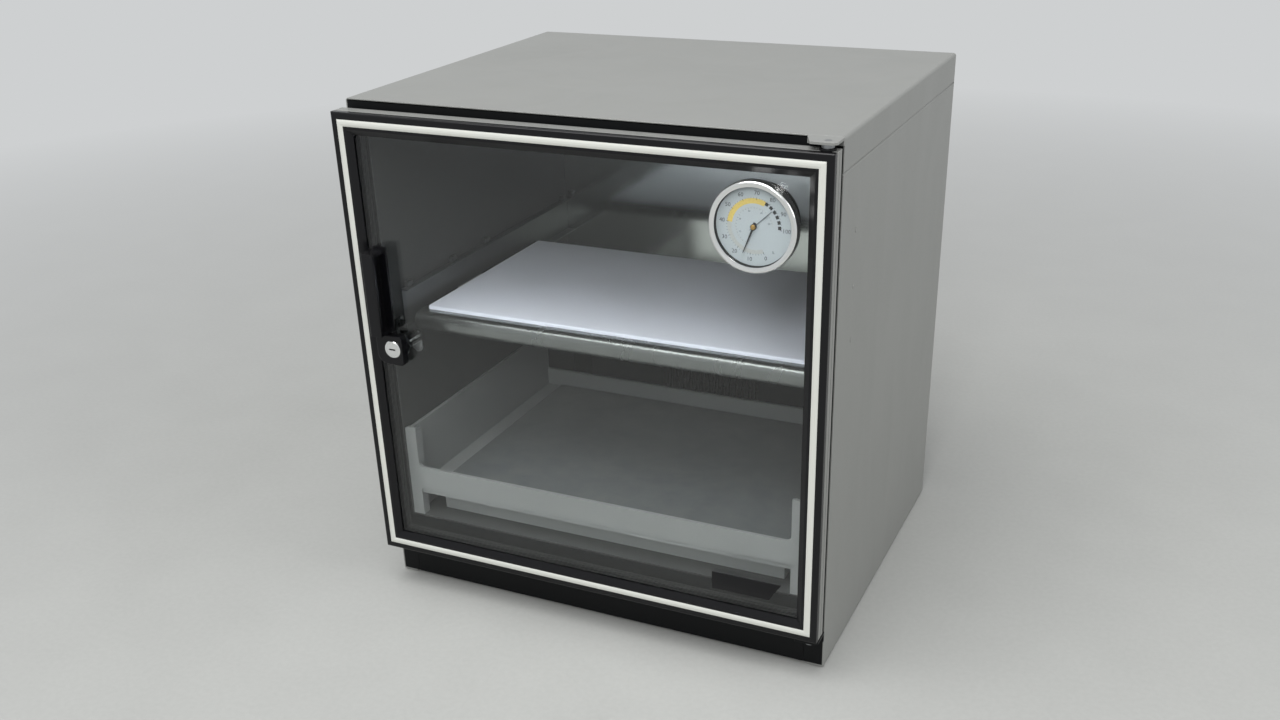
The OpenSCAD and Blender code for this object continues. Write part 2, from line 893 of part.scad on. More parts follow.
module rear_vent_cover() {
    z0 = window_top - window_h - vent_margin;
    z1 = window_top + vent_margin;
    pitch = (window_h - 2 * blade_t) / blade_count;
    fall = pitch * blade_fall_share;
    color(frame_black) at_front() {
        along_y(body_d, body_d + vent_proud) difference() {
            round_rect([-vent_x, z0], [vent_x, z1], [bend_r, bend_r, bend_r, bend_r]);
            vent_window();
        }
        // blades that slope down to the outside
        for (i = [0:blade_count - 1])
            along_x(-duct_x - slip, duct_x + slip)
                translate([body_d, window_top - window_h + (i + 1) * pitch])
                    polygon([[slip, 0], [vent_proud - slip, -fall],
                        [vent_proud - slip, blade_t - fall], [slip, blade_t]]);
    }
}

module power_inlet() {
    color(frame_black) at_front() {
        difference() {
            union() {
                along_y(body_d - inlet_depth, body_d + vent_proud / 4) inlet_outline(0);
                along_y(body_d, body_d + vent_proud / 2) inlet_outline(inlet_flange / 2);
            }
            along_y(body_d - inlet_depth + inlet_flange, body_d + vent_proud)
                inlet_outline(-inlet_flange / 2);
        }
        for (side = [-1, 1])
            rod_y(inlet_x + side * inlet_pin_gap / 2, inlet_z,
                body_d - inlet_depth + inlet_flange / 2, body_d - inlet_flange,
                inlet_pin_d / 2);
    }
}

module indicator_lamp() {
    color("red") at_front()
        turned_y(inlet_x, unit_base + lamp_rise)
            polygon(concat([[0, unit_front + 2 * lamp_d], [lamp_d / 2, unit_front + 2 * lamp_d],
                [lamp_d / 2, unit_front - grille_t]],
                arc([0, unit_front - grille_t], lamp_d / 2, 0, -90, 8)));
}

// Door

module door_bezel() {
    inner = border_w + bead_w;
    color(frame_black) at_front() difference() {
        door_ring(concat(arc([door_front + bezel_edge_r, bezel_edge_r], bezel_edge_r, 180, 270, 6),
                [[bezel_back, 0]]),
            [[door_front, inner + bevel_start], [glass_front - lip_t, bezel_w],
                [glass_front, bezel_w], [glass_front, rabbet_u], [bezel_back, rabbet_u]]);
        // seat of the bead
        door_ring([[door_front - over, border_w], [door_front + bead_seat, border_w]],
            [[door_front, inner], [door_front + bead_seat, inner]]);
    }
}

module trim_bead() {
    n = 8;
    crown = [for (i = [n / 2 - 1:-1:0]) [-bead_crown * (1 - pow(2 * i / n - 1, 2)),
        bead_w * i / n]];
    color(bright_metal) at_front()
        door_ring(concat([for (p = crown) [door_front + p[0], border_w + p[1]]],
                [[door_front + bead_seat, border_w]]),
            concat([for (p = crown) [door_front + p[0], border_w + bead_w - p[1]]],
                [[door_front + bead_seat, border_w + bead_w]]));
}

module glass_pane() {
    x = door_x - rabbet_u - slip;
    color([0.75, 0.85, 0.85, 0.35]) at_front() difference() {
        along_y(glass_front, glass_back)
            round_rect([-x, door_bottom + rabbet_u + slip], [x, door_top - rabbet_u - slip],
                [bend_r, bend_r, bend_r, bend_r]);
        rod_y(gauge_x, gauge_z, glass_front - over, glass_back + over, case_back_r + slip);
        rod_y(lock_x, lock_z, glass_front - over, glass_back + over, barrel_d / 2 + slip);
        for (z = handle_screw_places())
            rod_y(handle_x + handle_web_w / 2, z, glass_front - over, glass_back + over,
                handle_screw_d / 2 + slip);
    }
}

module door_rear_frame() {
    mid = (bezel_back + door_back) / 2;
    color(body_grey) at_front() difference() {
        door_ring([[bezel_back, groove_d], [bezel_back + groove_w, groove_d],
                [bezel_back + groove_w, 0], [mid - groove_w / 2, 0],
                [mid - groove_w / 2, groove_d], [mid + groove_w / 2, groove_d],
                [mid + groove_w / 2, 0], [door_back - rear_edge, 0], [door_back, rear_edge]],
            [[bezel_back, rear_frame_w], [door_back, rear_frame_w]]);
        rod_z(hinge_x, hinge_y, door_top - bush_l, door_top + over, bush_d / 2);
        rod_z(hinge_x, hinge_y, door_bottom - over, door_bottom + bush_l, bush_d / 2);
    }
}

module glazing_retainer() {
    pitch = (door_back - glass_back) / retainer_ribs;
    color(frame_black) at_front()
        door_ring([[glass_back, rabbet_u], [door_back, rabbet_u]],
            concat([for (i = [0:retainer_ribs - 1]) each [
                [glass_back + i * pitch, retainer_w],
                [glass_back + (i + rib_shares[0]) * pitch, retainer_w],
                [glass_back + (i + rib_shares[1]) * pitch, retainer_w - retainer_rib],
                [glass_back + (i + rib_shares[2]) * pitch, retainer_w - retainer_rib]]],
                [[door_back, retainer_w]]));
}

module door_gasket() {
    face = -slip;
    fold = [for (share = fold_shares) door_back + share * (face - door_back)];
    color(rubber_black) at_front()
        door_ring([[door_back, seal_out], [fold[0], seal_out], [fold[1], seal_out + seal_fold],
                [fold[2], seal_out], [face, seal_out + seal_fold / 2]],
            [[door_back, seal_in], [fold[0], seal_in], [fold[1], seal_in - seal_fold],
                [fold[2], seal_in], [face, seal_in - seal_fold / 2]]);
}

// Handle and lock

function handle_screw_places() =
    [handle_z - handle_l / 2 + handle_screw_inset, handle_z + handle_l / 2 - handle_screw_inset];

module handle_grip() {
    z0 = handle_z - handle_l / 2;
    z1 = handle_z + handle_l / 2;
    y0 = glass_front - handle_proud;
    x1 = handle_x + handle_w;
    base_x1 = x1 + handle_base_more;
    color(frame_black) at_front() difference() {
        union() {
            // bar with its outer edges rounded
            along_z(z0, z1)
                round_rect([handle_x, y0], [x1, glass_front],
                    [handle_edge_r, handle_edge_r, 0, 0]);
            // base flange against the glass, longer and wider than the bar
            along_y(glass_front - handle_base_t, glass_front)
                round_rect([handle_x, z0], [base_x1, z1 + handle_base_more],
                    [0, handle_edge_r, handle_edge_r, handle_edge_r]);
        }
        // finger pocket, open to the right
        along_y(y0 + handle_lip_t, glass_front - handle_base_t)
            round_rect([handle_x + handle_web_w, z0 + handle_end_t],
                [base_x1 + over, z1 - handle_end_t],
                [handle_edge_r, 0, 0, handle_edge_r]);
        for (z = handle_screw_places())
            rod_y(handle_x + handle_web_w / 2, z, glass_front - handle_proud / 2,
                glass_front + over, handle_screw_d / 2);
    }
}

module handle_screws() {
    color(steel) at_front()
        for (z = handle_screw_places()) {
            rod_y(handle_x + handle_web_w / 2, z, glass_front - handle_proud / 2 + slip,
                glass_back + slip, handle_screw_d / 2);
            turned_y(handle_x + handle_web_w / 2, z)
                polygon([[0, glass_back], [screw_head_d / 2, glass_back],
                    [screw_head_d / 2, glass_back + screw_head_t / 3],
                    [screw_head_d / 3, glass_back + screw_head_t],
                    [0, glass_back + screw_head_t]]);
        }
}

module lock_housing() {
    color(frame_black) at_front() difference() {
        along_y(glass_front - lock_proud, glass_front)
            round_rect([lock_left, lock_top - lock_l], [lock_left + lock_w, lock_top],
                [lock_corner, lock_small_corner, lock_small_corner, lock_small_corner / 2]);
        rod_y(lock_x, lock_z, glass_front - lock_proud - over, glass_front + over,
            barrel_d / 2);
    }
}

module lock_barrel() {
    face = glass_front - lock_proud;
    color(bright_metal) at_front()
        turned_y(lock_x, lock_z)
            polygon([[plug_d / 2 + run_clear, face - lock_rim],
                [lock_face_d / 2 - lock_rim / 2, face - lock_rim],
                [lock_face_d / 2, face - lock_rim / 2], [lock_face_d / 2, face],
                [barrel_d / 2, face], [barrel_d / 2, barrel_end],
                [plug_d / 2 - lock_rim, barrel_end],
                [plug_d / 2 - lock_rim, barrel_end - lock_rim],
                [plug_d / 2 + run_clear, barrel_end - lock_rim]]);
}

module lock_nut() {
    color(steel) at_front() difference() {
        along_y(glass_back, glass_back + nut_t)
            translate([lock_x, lock_z]) circle(nut_d / 2, $fn = 6);
        rod_y(lock_x, lock_z, glass_back - over, glass_back + nut_t + over, barrel_d / 2);
    }
}

module lock_plug() {
    face = glass_front - lock_proud - lock_rim;
    color(bright_metal) at_front() difference() {
        union() {
            rod_y(lock_x, lock_z, face, barrel_end - lock_rim - slip, plug_d / 2);
            rod_y(lock_x, lock_z, barrel_end - 2 * lock_rim, cam_plane + cam_t,
                lock_tail_d / 2);
        }
        block([lock_x - key_slot[0] / 2, face - over, lock_z - key_slot[1] / 2],
            [lock_x + key_slot[0] / 2, face + key_depth, lock_z + key_slot[1] / 2]);
    }
}

module lock_cam() {
    color(steel) at_front() difference() {
        union() {
            rod_y(lock_x, lock_z, cam_plane, cam_plane + cam_t, cam_w / 2);
            rod_y(lock_x, lock_z - cam_l, cam_plane, cam_plane + cam_t, cam_w / 2);
            block([lock_x - cam_w / 2, cam_plane, lock_z - cam_l],
                [lock_x + cam_w / 2, cam_plane + cam_t, lock_z]);
        }
        rod_y(lock_x, lock_z, cam_plane - over, cam_plane + cam_t + over, lock_tail_d / 2);
    }
}

module cam_screw() {
    y0 = cam_plane + cam_t;
    color(steel) at_front()
        turned_y(lock_x, lock_z)
            polygon([[0, y0], [cam_w / 2 - lock_rim, y0], [cam_w / 2 - lock_rim, y0 + lock_rim],
                [cam_w / 4, y0 + 2 * lock_rim], [0, y0 + 2 * lock_rim]]);
}

module lock_strike() {
    color(steel) at_front() {
        // plate on the wall, with the ear that the cam turns behind
        block([-chamber_x, strike_plane - strike_t, lock_z - strike_half],
            [strike_t - chamber_x, strike_depth, lock_z + strike_half]);
        along_y(strike_plane, strike_plane + strike_t)
            round_rect([-chamber_x, lock_z - strike_half],
                [strike_t + ear_reach - chamber_x, lock_z + strike_half],
                [0, lock_small_corner, lock_small_corner, 0]);
    }
}

// Thermo-hygrometer

module gauge_ring() {
    inner = gauge_r - gauge_ring_w;
    color(bright_metal) at_front() turned_y(gauge_x, gauge_z)
        polygon(concat([[gauge_r, glass_front]],
            arc([gauge_r - ring_edge_r, gauge_front + ring_edge_r], ring_edge_r, 0, -90, 6),
            [[inner + ring_skin, gauge_front + ring_skin / 4], [inner, lens_front - ring_skin / 2],
                [inner, lens_front], [gauge_r - ring_skin, lens_front],
                [gauge_r - ring_skin, glass_front]]));
}

module gauge_lens() {
    color([0.85, 0.9, 0.9, 0.3]) at_front()
        rod_y(gauge_x, gauge_z, lens_front, rim_front, case_r);
}

module gauge_case() {
    inner = case_back_r - case_wall;
    color(frame_black) at_front() turned_y(gauge_x, gauge_z)
        polygon([[case_r, rim_front], [case_r, glass_front], [case_back_r, glass_front],
            [case_back_r, case_back - case_wall], [case_back_r - case_wall, case_back],
            [0, case_back], [0, case_back - case_wall], [inner, case_back - case_wall],
            [inner, dial_back], [dial_r, dial_back], [dial_r, rim_front]]);
}

module gauge_dial() {
    color("white") at_front() turned_y(gauge_x, gauge_z)
        polygon([[dial_hole_r, dial_front], [dial_r - slip, dial_front],
            [dial_r - slip, dial_back], [dial_hole_r, dial_back]]);
}

module humidity_coil() {
    r0 = pipe_r + 4 * run_clear;
    r1 = case_back_r - case_wall;
    n = coil_turns * coil_steps;
    function at(i, grow) = let (r = r0 + (r1 - r0) * i / n + grow, a = 360 * i / coil_steps)
        [gauge_x + r * cos(a), gauge_z + r * sin(a)];
    y0 = dial_back + coil_w / 2;
    color("peru") at_front() along_y(y0, y0 + coil_w)
        polygon(concat([for (i = [0:n]) at(i, 0)], [for (i = [n:-1:0]) at(i, -coil_strip)]));
}

module humidity_hand() {
    tip = hub_r / 8;
    y1 = dial_front - 2 * hand_gap - hand_t;
    color(frame_black) at_front() {
        rod_y(gauge_x, gauge_z, y1 - 2 * hand_t, dial_back + 2 * coil_w, spindle_r);
        rod_y(gauge_x, gauge_z, y1 - 2 * hand_t, y1, hub_r);
        along_y(y1 - hand_t, y1) translate([gauge_x, gauge_z]) rotate(-humidity_angle)
            polygon([[-hub_r / 2, -1.5 * hub_r], [hub_r / 2, -1.5 * hub_r],
                [hub_r / 3, 0], [tip, humidity_hand_l], [-tip, humidity_hand_l],
                [-hub_r / 3, 0]]);
    }
}

module temperature_hand() {
    tip = hub_r / 10;
    y1 = dial_front - hand_gap;
    color("dimgray") at_front() difference() {
        union() {
            rod_y(gauge_x, gauge_z, y1 - hand_t, dial_back + coil_w / 4, pipe_r);
            rod_y(gauge_x, gauge_z, y1 - hand_t, y1, hub_r);
            along_y(y1 - hand_t, y1) translate([gauge_x, gauge_z]) rotate(-temperature_angle)
                polygon([[-tip, -1.8 * hub_r], [tip, -1.8 * hub_r], [tip, temperature_hand_l],
                    [-tip, temperature_hand_l]]);
        }
        rod_y(gauge_x, gauge_z, y1 - hand_t - over, dial_back + coil_w, spindle_r + run_clear);
    }
}

// Shelf

module shelf_tray() {
    y1 = shelf_front + shelf_d;
    z0 = shelf_z - shelf_lip_h;
    r = shelf_roll;
    color(bright_metal) at_front() {
        // plate with its rolled front lip and its turned-down rear edge
        along_x(-shelf_x, shelf_x)
            polygon(concat(
                [[shelf_front + shelf_return, z0], [shelf_front + r, z0]],
                arc([shelf_front + r, z0 + r], r, 270, 180, 5),
                arc([shelf_front + r, shelf_z - r], r, 180, 90, 5),
                [[y1, shelf_z], [y1, shelf_z - shelf_side_h],
                    [y1 - shelf_t, shelf_z - shelf_side_h], [y1 - shelf_t, shelf_z - shelf_t],
                    [shelf_front + r, shelf_z - shelf_t]],
                arc([shelf_front + r, shelf_z - r], r - shelf_t, 90, 180, 5),
                arc([shelf_front + r, z0 + r], r - shelf_t, 180, 270, 5),
                [[shelf_front + shelf_return, z0 + shelf_t]]));
        for (side = [-1, 1])
            block([side > 0 ? shelf_x - shelf_t : -shelf_x, shelf_front + 2 * shelf_roll,
                shelf_z - shelf_side_h],
                [side > 0 ? shelf_x : shelf_t - shelf_x, y1 - shelf_t / 2,
                    shelf_z - shelf_t / 2]);
    }
}

module shelf_mat() {
    color([0.66, 0.67, 0.72]) at_front() along_z(shelf_z, shelf_z + mat_t)
        round_rect([mat_inset - shelf_x, shelf_front + mat_front_inset],
            [shelf_x - mat_inset, shelf_front + shelf_d - mat_back_inset],
            [mat_corner, mat_corner, mat_corner, mat_corner]);
}

// Rack

module rack_tray() {
    y1 = rack_front + rack_d;
    floor_z = rack_base + tray_rise;
    bar_z = rack_base + bar_rise;
    inner_x = rack_x - upright_w;
    color([0.45, 0.47, 0.47, 0.7]) at_front() {
        // front: two uprights joined by the bar
        along_y(rack_front, rack_front + rack_t) difference() {
            round_rect([-rack_x, rack_base], [rack_x, rack_base + rack_h],
                [0, 0, upright_r, upright_r]);
            round_rect([-inner_x, bar_z + bar_h], [inner_x, rack_base + rack_h + over],
                [bar_r, bar_r, 0, 0]);
            round_rect([-inner_x, rack_base - over], [inner_x, bar_z],
                [0, 0, bar_r / 2, bar_r / 2]);
        }
        // uprights are channels: an inner cheek behind each one
        for (side = [-1, 1])
            block([side > 0 ? inner_x : -inner_x - rack_t / 2, rack_front + rack_t / 2, rack_base],
                [side > 0 ? inner_x + rack_t / 2 : -inner_x, rack_front + 3 * rack_t,
                    rack_base + rack_h - upright_r]);
        // side walls with rounded upper rear corners
        for (side = [-1, 1])
            along_x(side > 0 ? rack_x - rack_t : -rack_x, side > 0 ? rack_x : rack_t - rack_x)
                round_rect([rack_front + rack_t / 2, rack_base],
                    [y1, rack_base + rack_h - upright_r], [0, 0, 2 * bar_r, 0]);
        block([-rack_x + rack_t / 2, rack_front + rack_t / 2, floor_z],
            [rack_x - rack_t / 2, y1 - rack_t / 2, floor_z + rack_t]);
        // edge that joins the tray floor to the bar
        block([-inner_x, rack_front + rack_t / 2, floor_z + rack_t / 2],
            [inner_x, rack_front + rack_t, bar_z + rack_t]);
        block([-rack_x + rack_t / 2, y1 - rack_t, floor_z],
            [rack_x - rack_t / 2, y1, floor_z + rack_rear_h]);
        // skirt under the tray floor, set back from the bar
        difference() {
            block([-rack_x + skirt_in, rack_front + skirt_back, rack_base],
                [rack_x - skirt_in, y1 - skirt_back, floor_z + rack_t / 2]);
            block([-rack_x + skirt_in + rack_t, rack_front + skirt_back + rack_t,
                rack_base - over],
                [rack_x - skirt_in - rack_t, y1 - skirt_back - rack_t, floor_z]);
        }
    }
}

module rack_mat() {
    z0 = rack_base + tray_rise + rack_t;
    x = rack_x - rack_mat_side;
    color([0.25, 0.28, 0.31]) at_front() along_z(z0, z0 + mat_t)
        round_rect([-x, rack_front + rack_mat_front],
            [x, rack_front + rack_d - rack_mat_back],
            [mat_corner, mat_corner, mat_corner, mat_corner]);
}

top_cover();
left_side_panel();
right_side_panel();
rear_panel();
base_pan();
plinth_front();
front_frame();
liner_left();
liner_right();
liner_ceiling();
liner_floor();
liner_rear();
shelf_rail_left();
shelf_rail_right();
hinge_bracket_top();
hinge_bracket_bottom();
hinge_pin_top();
hinge_pin_bottom();
lock_strike();
feet();
rear_screws();
side_rivets();
dry_unit_case();
dry_unit_grille();
desiccant_cartridge();
heater_plate();
timer_board();
memory_spring();
bias_spring();
rear_vent_cover();
power_inlet();
indicator_lamp();
door_bezel();
trim_bead();
glass_pane();
door_rear_frame();
glazing_retainer();
door_gasket();
handle_grip();
handle_screws();
lock_housing();
lock_barrel();
lock_nut();
hinge_bushes();
gauge_case();
gauge_dial();
gauge_ring();
gauge_lens();
humidity_coil();
lock_plug();
lock_cam();
cam_screw();
humidity_hand();
temperature_hand();
shelf_tray();
shelf_mat();
rack_tray();
rack_mat();
inner_shutter();
outer_shutter();
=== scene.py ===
# %% [markdown]
# # A dry cabinet for cameras
# The cabinet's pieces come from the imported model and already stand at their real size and
# place. This script gives each of them its finish, and makes what a solid model leaves plain
# or leaves out: the shelf and the cover as bent sheets, the foam mats, the door seal, the
# printed dial, the screw heads and the wound springs.

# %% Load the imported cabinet
import json
import math

import bmesh
import bpy
from mathutils import Matrix, Vector


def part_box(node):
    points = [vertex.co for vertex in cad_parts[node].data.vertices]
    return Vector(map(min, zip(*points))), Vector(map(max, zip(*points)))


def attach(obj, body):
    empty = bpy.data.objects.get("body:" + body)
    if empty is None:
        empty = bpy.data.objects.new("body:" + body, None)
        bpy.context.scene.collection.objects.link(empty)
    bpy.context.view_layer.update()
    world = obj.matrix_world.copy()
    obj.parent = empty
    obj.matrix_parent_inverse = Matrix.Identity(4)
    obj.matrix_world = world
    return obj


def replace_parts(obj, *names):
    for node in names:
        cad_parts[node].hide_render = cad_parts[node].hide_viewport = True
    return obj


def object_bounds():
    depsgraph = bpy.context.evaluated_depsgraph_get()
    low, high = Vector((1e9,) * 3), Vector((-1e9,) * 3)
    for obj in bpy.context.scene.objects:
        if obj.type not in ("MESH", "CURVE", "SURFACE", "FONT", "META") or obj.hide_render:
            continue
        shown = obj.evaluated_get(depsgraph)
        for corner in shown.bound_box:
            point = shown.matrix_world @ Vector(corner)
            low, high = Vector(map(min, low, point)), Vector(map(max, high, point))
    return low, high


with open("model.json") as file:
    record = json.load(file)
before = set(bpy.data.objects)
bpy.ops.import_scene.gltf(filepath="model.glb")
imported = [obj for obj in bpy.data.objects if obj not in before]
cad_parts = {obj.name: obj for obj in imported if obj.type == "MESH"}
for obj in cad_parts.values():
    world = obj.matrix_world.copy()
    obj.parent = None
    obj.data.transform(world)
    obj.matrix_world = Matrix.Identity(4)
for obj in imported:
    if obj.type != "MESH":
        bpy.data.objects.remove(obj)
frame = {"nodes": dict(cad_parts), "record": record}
nodes = frame["nodes"]
cad_low, cad_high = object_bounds()
print("cabinet", [round(v * 1000) for v in cad_high - cad_low], "mm")

# %% [markdown]
# ## The camera
# The photograph was taken by hand, from above and from the left, close enough for strong
# perspective. Its lens, place and tilt were worked out from the cabinet's corners. The frame
# was cropped from a taller picture, so the lens axis lies below the middle, and the small
# shift puts it there.

# %% Camera fitted to the photograph
MM = 0.001
PHOTO_W, PHOTO_H = 1280, 720
FOCAL_PX = 1312.7
AXIS_PX = (657.5, 454.3)
CAMERA_PLACE = Vector((455.8, -1002.6, 644.6)) * MM
HEADING, DOWN, ROLL = (math.radians(a) for a in (-24.90, 26.78, -1.41))

camera_data = bpy.data.cameras.new("camera")
camera = bpy.data.objects.new("camera", camera_data)
bpy.context.scene.collection.objects.link(camera)
bpy.context.scene.camera = camera
look = Vector((math.sin(HEADING) * math.cos(DOWN), math.cos(HEADING) * math.cos(DOWN),
               -math.sin(DOWN)))
level = Vector((math.cos(HEADING), -math.sin(HEADING), 0))
upward = level.cross(look)
side = math.cos(ROLL) * level + math.sin(ROLL) * upward
crown = math.cos(ROLL) * upward - math.sin(ROLL) * level
camera.matrix_world = (Matrix.Translation(CAMERA_PLACE)
                       @ Matrix((side, crown, -look)).transposed().to_4x4())
camera_data.lens = FOCAL_PX / PHOTO_W * camera_data.sensor_width
camera_data.shift_x = (PHOTO_W / 2 - AXIS_PX[0]) / PHOTO_W
camera_data.shift_y = (AXIS_PX[1] - PHOTO_H / 2) / PHOTO_W
camera_data.clip_start, camera_data.clip_end = 0.05, 60
print("lens", round(camera_data.lens, 1), "mm")

# %% [markdown]
# ## Small helpers
# Colours are written as they look on screen, from 0 to 255, and turned into the linear
# values that shaders want. Every material is a handful of nodes, so short functions add a
# node with its inputs, do a sum or a mix, and make a group with its sockets.

# %% Colour and node helpers
def srgb(r, g, b):
    def linear(v):
        v /= 255
        return v / 12.92 if v <= 0.04045 else ((v + 0.055) / 1.055) ** 2.4
    return (linear(r), linear(g), linear(b), 1.0)


def shade(colour, factor):
    return tuple(min(1.0, c * factor) for c in colour[:3]) + (1.0,)


def put(tree, kind, inputs=None, **settings):
    """Adds a node; an input that is a socket is linked, any other is set."""
    node = tree.nodes.new("ShaderNode" + kind)
    for name, value in settings.items():
        setattr(node, name, value)
    for name, value in (inputs or {}).items():
        if isinstance(value, bpy.types.NodeSocket):
            tree.links.new(value, node.inputs[name])
        else:
            node.inputs[name].default_value = value
    return node


def math_node(tree, operation, a, b=0.0, clamp=False):
    return put(tree, "Math", {0: a, 1: b}, operation=operation, use_clamp=clamp).outputs[0]


def ramp(tree, value, low, high, to_low=0.0, to_high=1.0):
    return put(tree, "MapRange", {"Value": value, "From Min": low, "From Max": high,
                                  "To Min": to_low, "To Max": to_high}).outputs["Result"]


def grey(tree, value):
    return put(tree, "CombineColor", {0: value, 1: value, 2: value}).outputs[0]


def mix_colour(tree, factor, a, b, blend="MIX"):
    """Mixes two colours; inputs 6 and 7 and output 2 are the node's colour sockets."""
    return put(tree, "Mix", {0: factor, 6: a, 7: b}, data_type="RGBA",
               blend_type=blend).outputs[2]


def make_group(name, inputs, outputs):
    group = bpy.data.node_groups.new(name, "ShaderNodeTree")
    for label, kind, value in inputs:
        socket = group.interface.new_socket(label, in_out="INPUT", socket_type=kind)
        if value is not None:
            socket.default_value = value
    for label, kind in outputs:
        group.interface.new_socket(label, in_out="OUTPUT", socket_type=kind)
    return group, group.nodes.new("NodeGroupInput").outputs, group.nodes.new("NodeGroupOutput")


def place(tree, group, inputs):
    return put(tree, "Group", inputs, node_tree=group).outputs


def shader_of(material):
    return material.node_tree.nodes["Principled BSDF"]


def new_material(name):
    """Makes a material and returns it with its node tree and its shader."""
    made = bpy.data.materials.new(name)
    made.use_nodes = True
    return made, made.node_tree, shader_of(made)


FLOAT, VECTOR = "NodeSocketFloat", "NodeSocketVector"

# %% [markdown]
# ## Shared surface effects
# Paint, plastic and metal share a few effects: a fine grain, edges that rub bright, dust that
# settles on what faces up, and the faint patches that wiping leaves on a smooth face. Each is
# a group, built once and placed in every material that needs it with its own values.

# %% Fine grain
fine_grain, given, result = make_group(
    "fine grain", [("Vector", VECTOR, None), ("Scale", FLOAT, 900.0), ("Bump", FLOAT, 0.05)],
    [("Value", FLOAT), ("Normal", VECTOR)])
noise = put(fine_grain, "TexNoise", {"Vector": given["Vector"], "Scale": given["Scale"],
                                     "Detail": 3.0, "Roughness": 0.6})
bump = put(fine_grain, "Bump", {"Strength": given["Bump"], "Distance": 0.4 * MM,
                                "Height": noise.outputs["Fac"]})
fine_grain.links.new(noise.outputs["Fac"], result.inputs["Value"])
fine_grain.links.new(bump.outputs["Normal"], result.inputs["Normal"])

# %% Rubbed edges
rubbed_edges, given, result = make_group(
    "rubbed edges", [("Vector", VECTOR, None), ("Radius", FLOAT, 0.8 * MM)], [("Mask", FLOAT)])
bevelled = put(rubbed_edges, "Bevel", {"Radius": given["Radius"]}, samples=4)
flat = put(rubbed_edges, "NewGeometry").outputs["Normal"]
turned = put(rubbed_edges, "VectorMath", {0: bevelled.outputs["Normal"], 1: flat},
             operation="DOT_PRODUCT").outputs["Value"]
patches = put(rubbed_edges, "TexNoise", {"Vector": given["Vector"], "Scale": 120.0,
                                         "Detail": 4.0}).outputs["Fac"]
corner = ramp(rubbed_edges, turned, 0.97, 0.80)
worn = math_node(rubbed_edges, "MULTIPLY", corner, ramp(rubbed_edges, patches, 0.42, 0.62),
                 clamp=True)
rubbed_edges.links.new(worn, result.inputs["Mask"])

# %% Settled dust
settled_dust, given, result = make_group(
    "settled dust", [("Vector", VECTOR, None), ("Amount", FLOAT, 0.2)], [("Mask", FLOAT)])
facing = put(settled_dust, "SeparateXYZ",
             {0: put(settled_dust, "NewGeometry").outputs["Normal"]}).outputs["Z"]
drift = put(settled_dust, "TexNoise", {"Vector": given["Vector"], "Scale": 38.0, "Detail": 6.0,
                                       "Roughness": 0.7}).outputs["Fac"]
lying = math_node(settled_dust, "MULTIPLY", ramp(settled_dust, facing, 0.55, 0.98),
                  ramp(settled_dust, drift, 0.35, 0.75))
settled_dust.links.new(math_node(settled_dust, "MULTIPLY", lying, given["Amount"], clamp=True),
                       result.inputs["Mask"])

# %% Wiped patches
wiped_patches, given, result = make_group(
    "wiped patches", [("Vector", VECTOR, None), ("Scale", FLOAT, 14.0)], [("Value", FLOAT)])
stretched = put(wiped_patches, "Mapping", {"Vector": given["Vector"],
                                           "Rotation": (0.3, 0.2, 0.5),
                                           "Scale": (1.0, 1.0, 0.35)}).outputs["Vector"]
swirl = put(wiped_patches, "TexNoise", {"Vector": stretched, "Scale": given["Scale"],
                                        "Detail": 5.0, "Distortion": 1.4}).outputs["Fac"]
wiped_patches.links.new(ramp(wiped_patches, swirl, 0.38, 0.68), result.inputs["Value"])
print(len(bpy.data.node_groups), "shared effects")


# %% [markdown]
# ## One recipe for hard finishes
# Nearly every hard surface is a base colour, a roughness and some of the four effects. The
# function builds the material from plain numbers, so that each finish below is a short list
# of what makes it different.

# %% The recipe
DUST, DUST_ROUGHNESS = srgb(188, 184, 174), 0.3
RUBBED_SHADE = 1.8
# Most values of the broad noise and of the grain lie between these.
BROAD_RANGE, GRAIN_RANGE = (0.3, 0.7), (0.35, 0.65)


def hard_finish(name, colour, roughness, metallic=0.0, tone=0.06, tone_scale=11.0, grain=900.0,
                fleck=0.05, bump=0.04, rub=0.0, rub_colour=None, dust=0.0, wipe=0.06):
    """Tone and fleck are the shares by which the colour varies, broadly and in the grain.
    Bump, rub, dust and wipe say how strong an effect is; tone_scale and grain, how fine."""
    made, tree, shader = new_material(name)
    vector = put(tree, "TexCoord").outputs["Object"]
    grains = place(tree, fine_grain, {"Vector": vector, "Scale": grain, "Bump": bump})
    broad = put(tree, "TexNoise", {"Vector": vector, "Scale": tone_scale,
                                   "Detail": 3.0}).outputs["Fac"]
    painted = mix_colour(tree, ramp(tree, broad, *BROAD_RANGE), shade(colour, 1 - tone),
                         shade(colour, 1 + tone))
    speck = ramp(tree, grains["Value"], *GRAIN_RANGE, 1 - fleck, 1 + fleck)
    painted = mix_colour(tree, 1.0, painted, grey(tree, speck), "MULTIPLY")
    rough = math_node(tree, "ADD", roughness - wipe / 2, math_node(
        tree, "MULTIPLY", place(tree, wiped_patches, {"Vector": vector})["Value"], wipe))
    if rub:
        mask = math_node(tree, "MULTIPLY",
                         place(tree, rubbed_edges, {"Vector": vector})["Mask"], rub)
        painted = mix_colour(tree, mask, painted, rub_colour or shade(colour, RUBBED_SHADE))
    if dust:
        mask = place(tree, settled_dust, {"Vector": vector, "Amount": dust})["Mask"]
        painted = mix_colour(tree, mask, painted, DUST)
        rough = math_node(tree, "ADD", rough,
                          math_node(tree, "MULTIPLY", mask, DUST_ROUGHNESS), clamp=True)
    tree.links.new(painted, shader.inputs["Base Color"])
    tree.links.new(rough, shader.inputs["Roughness"])
    tree.links.new(grains["Normal"], shader.inputs["Normal"])
    shader.inputs["Metallic"].default_value = metallic
    return made


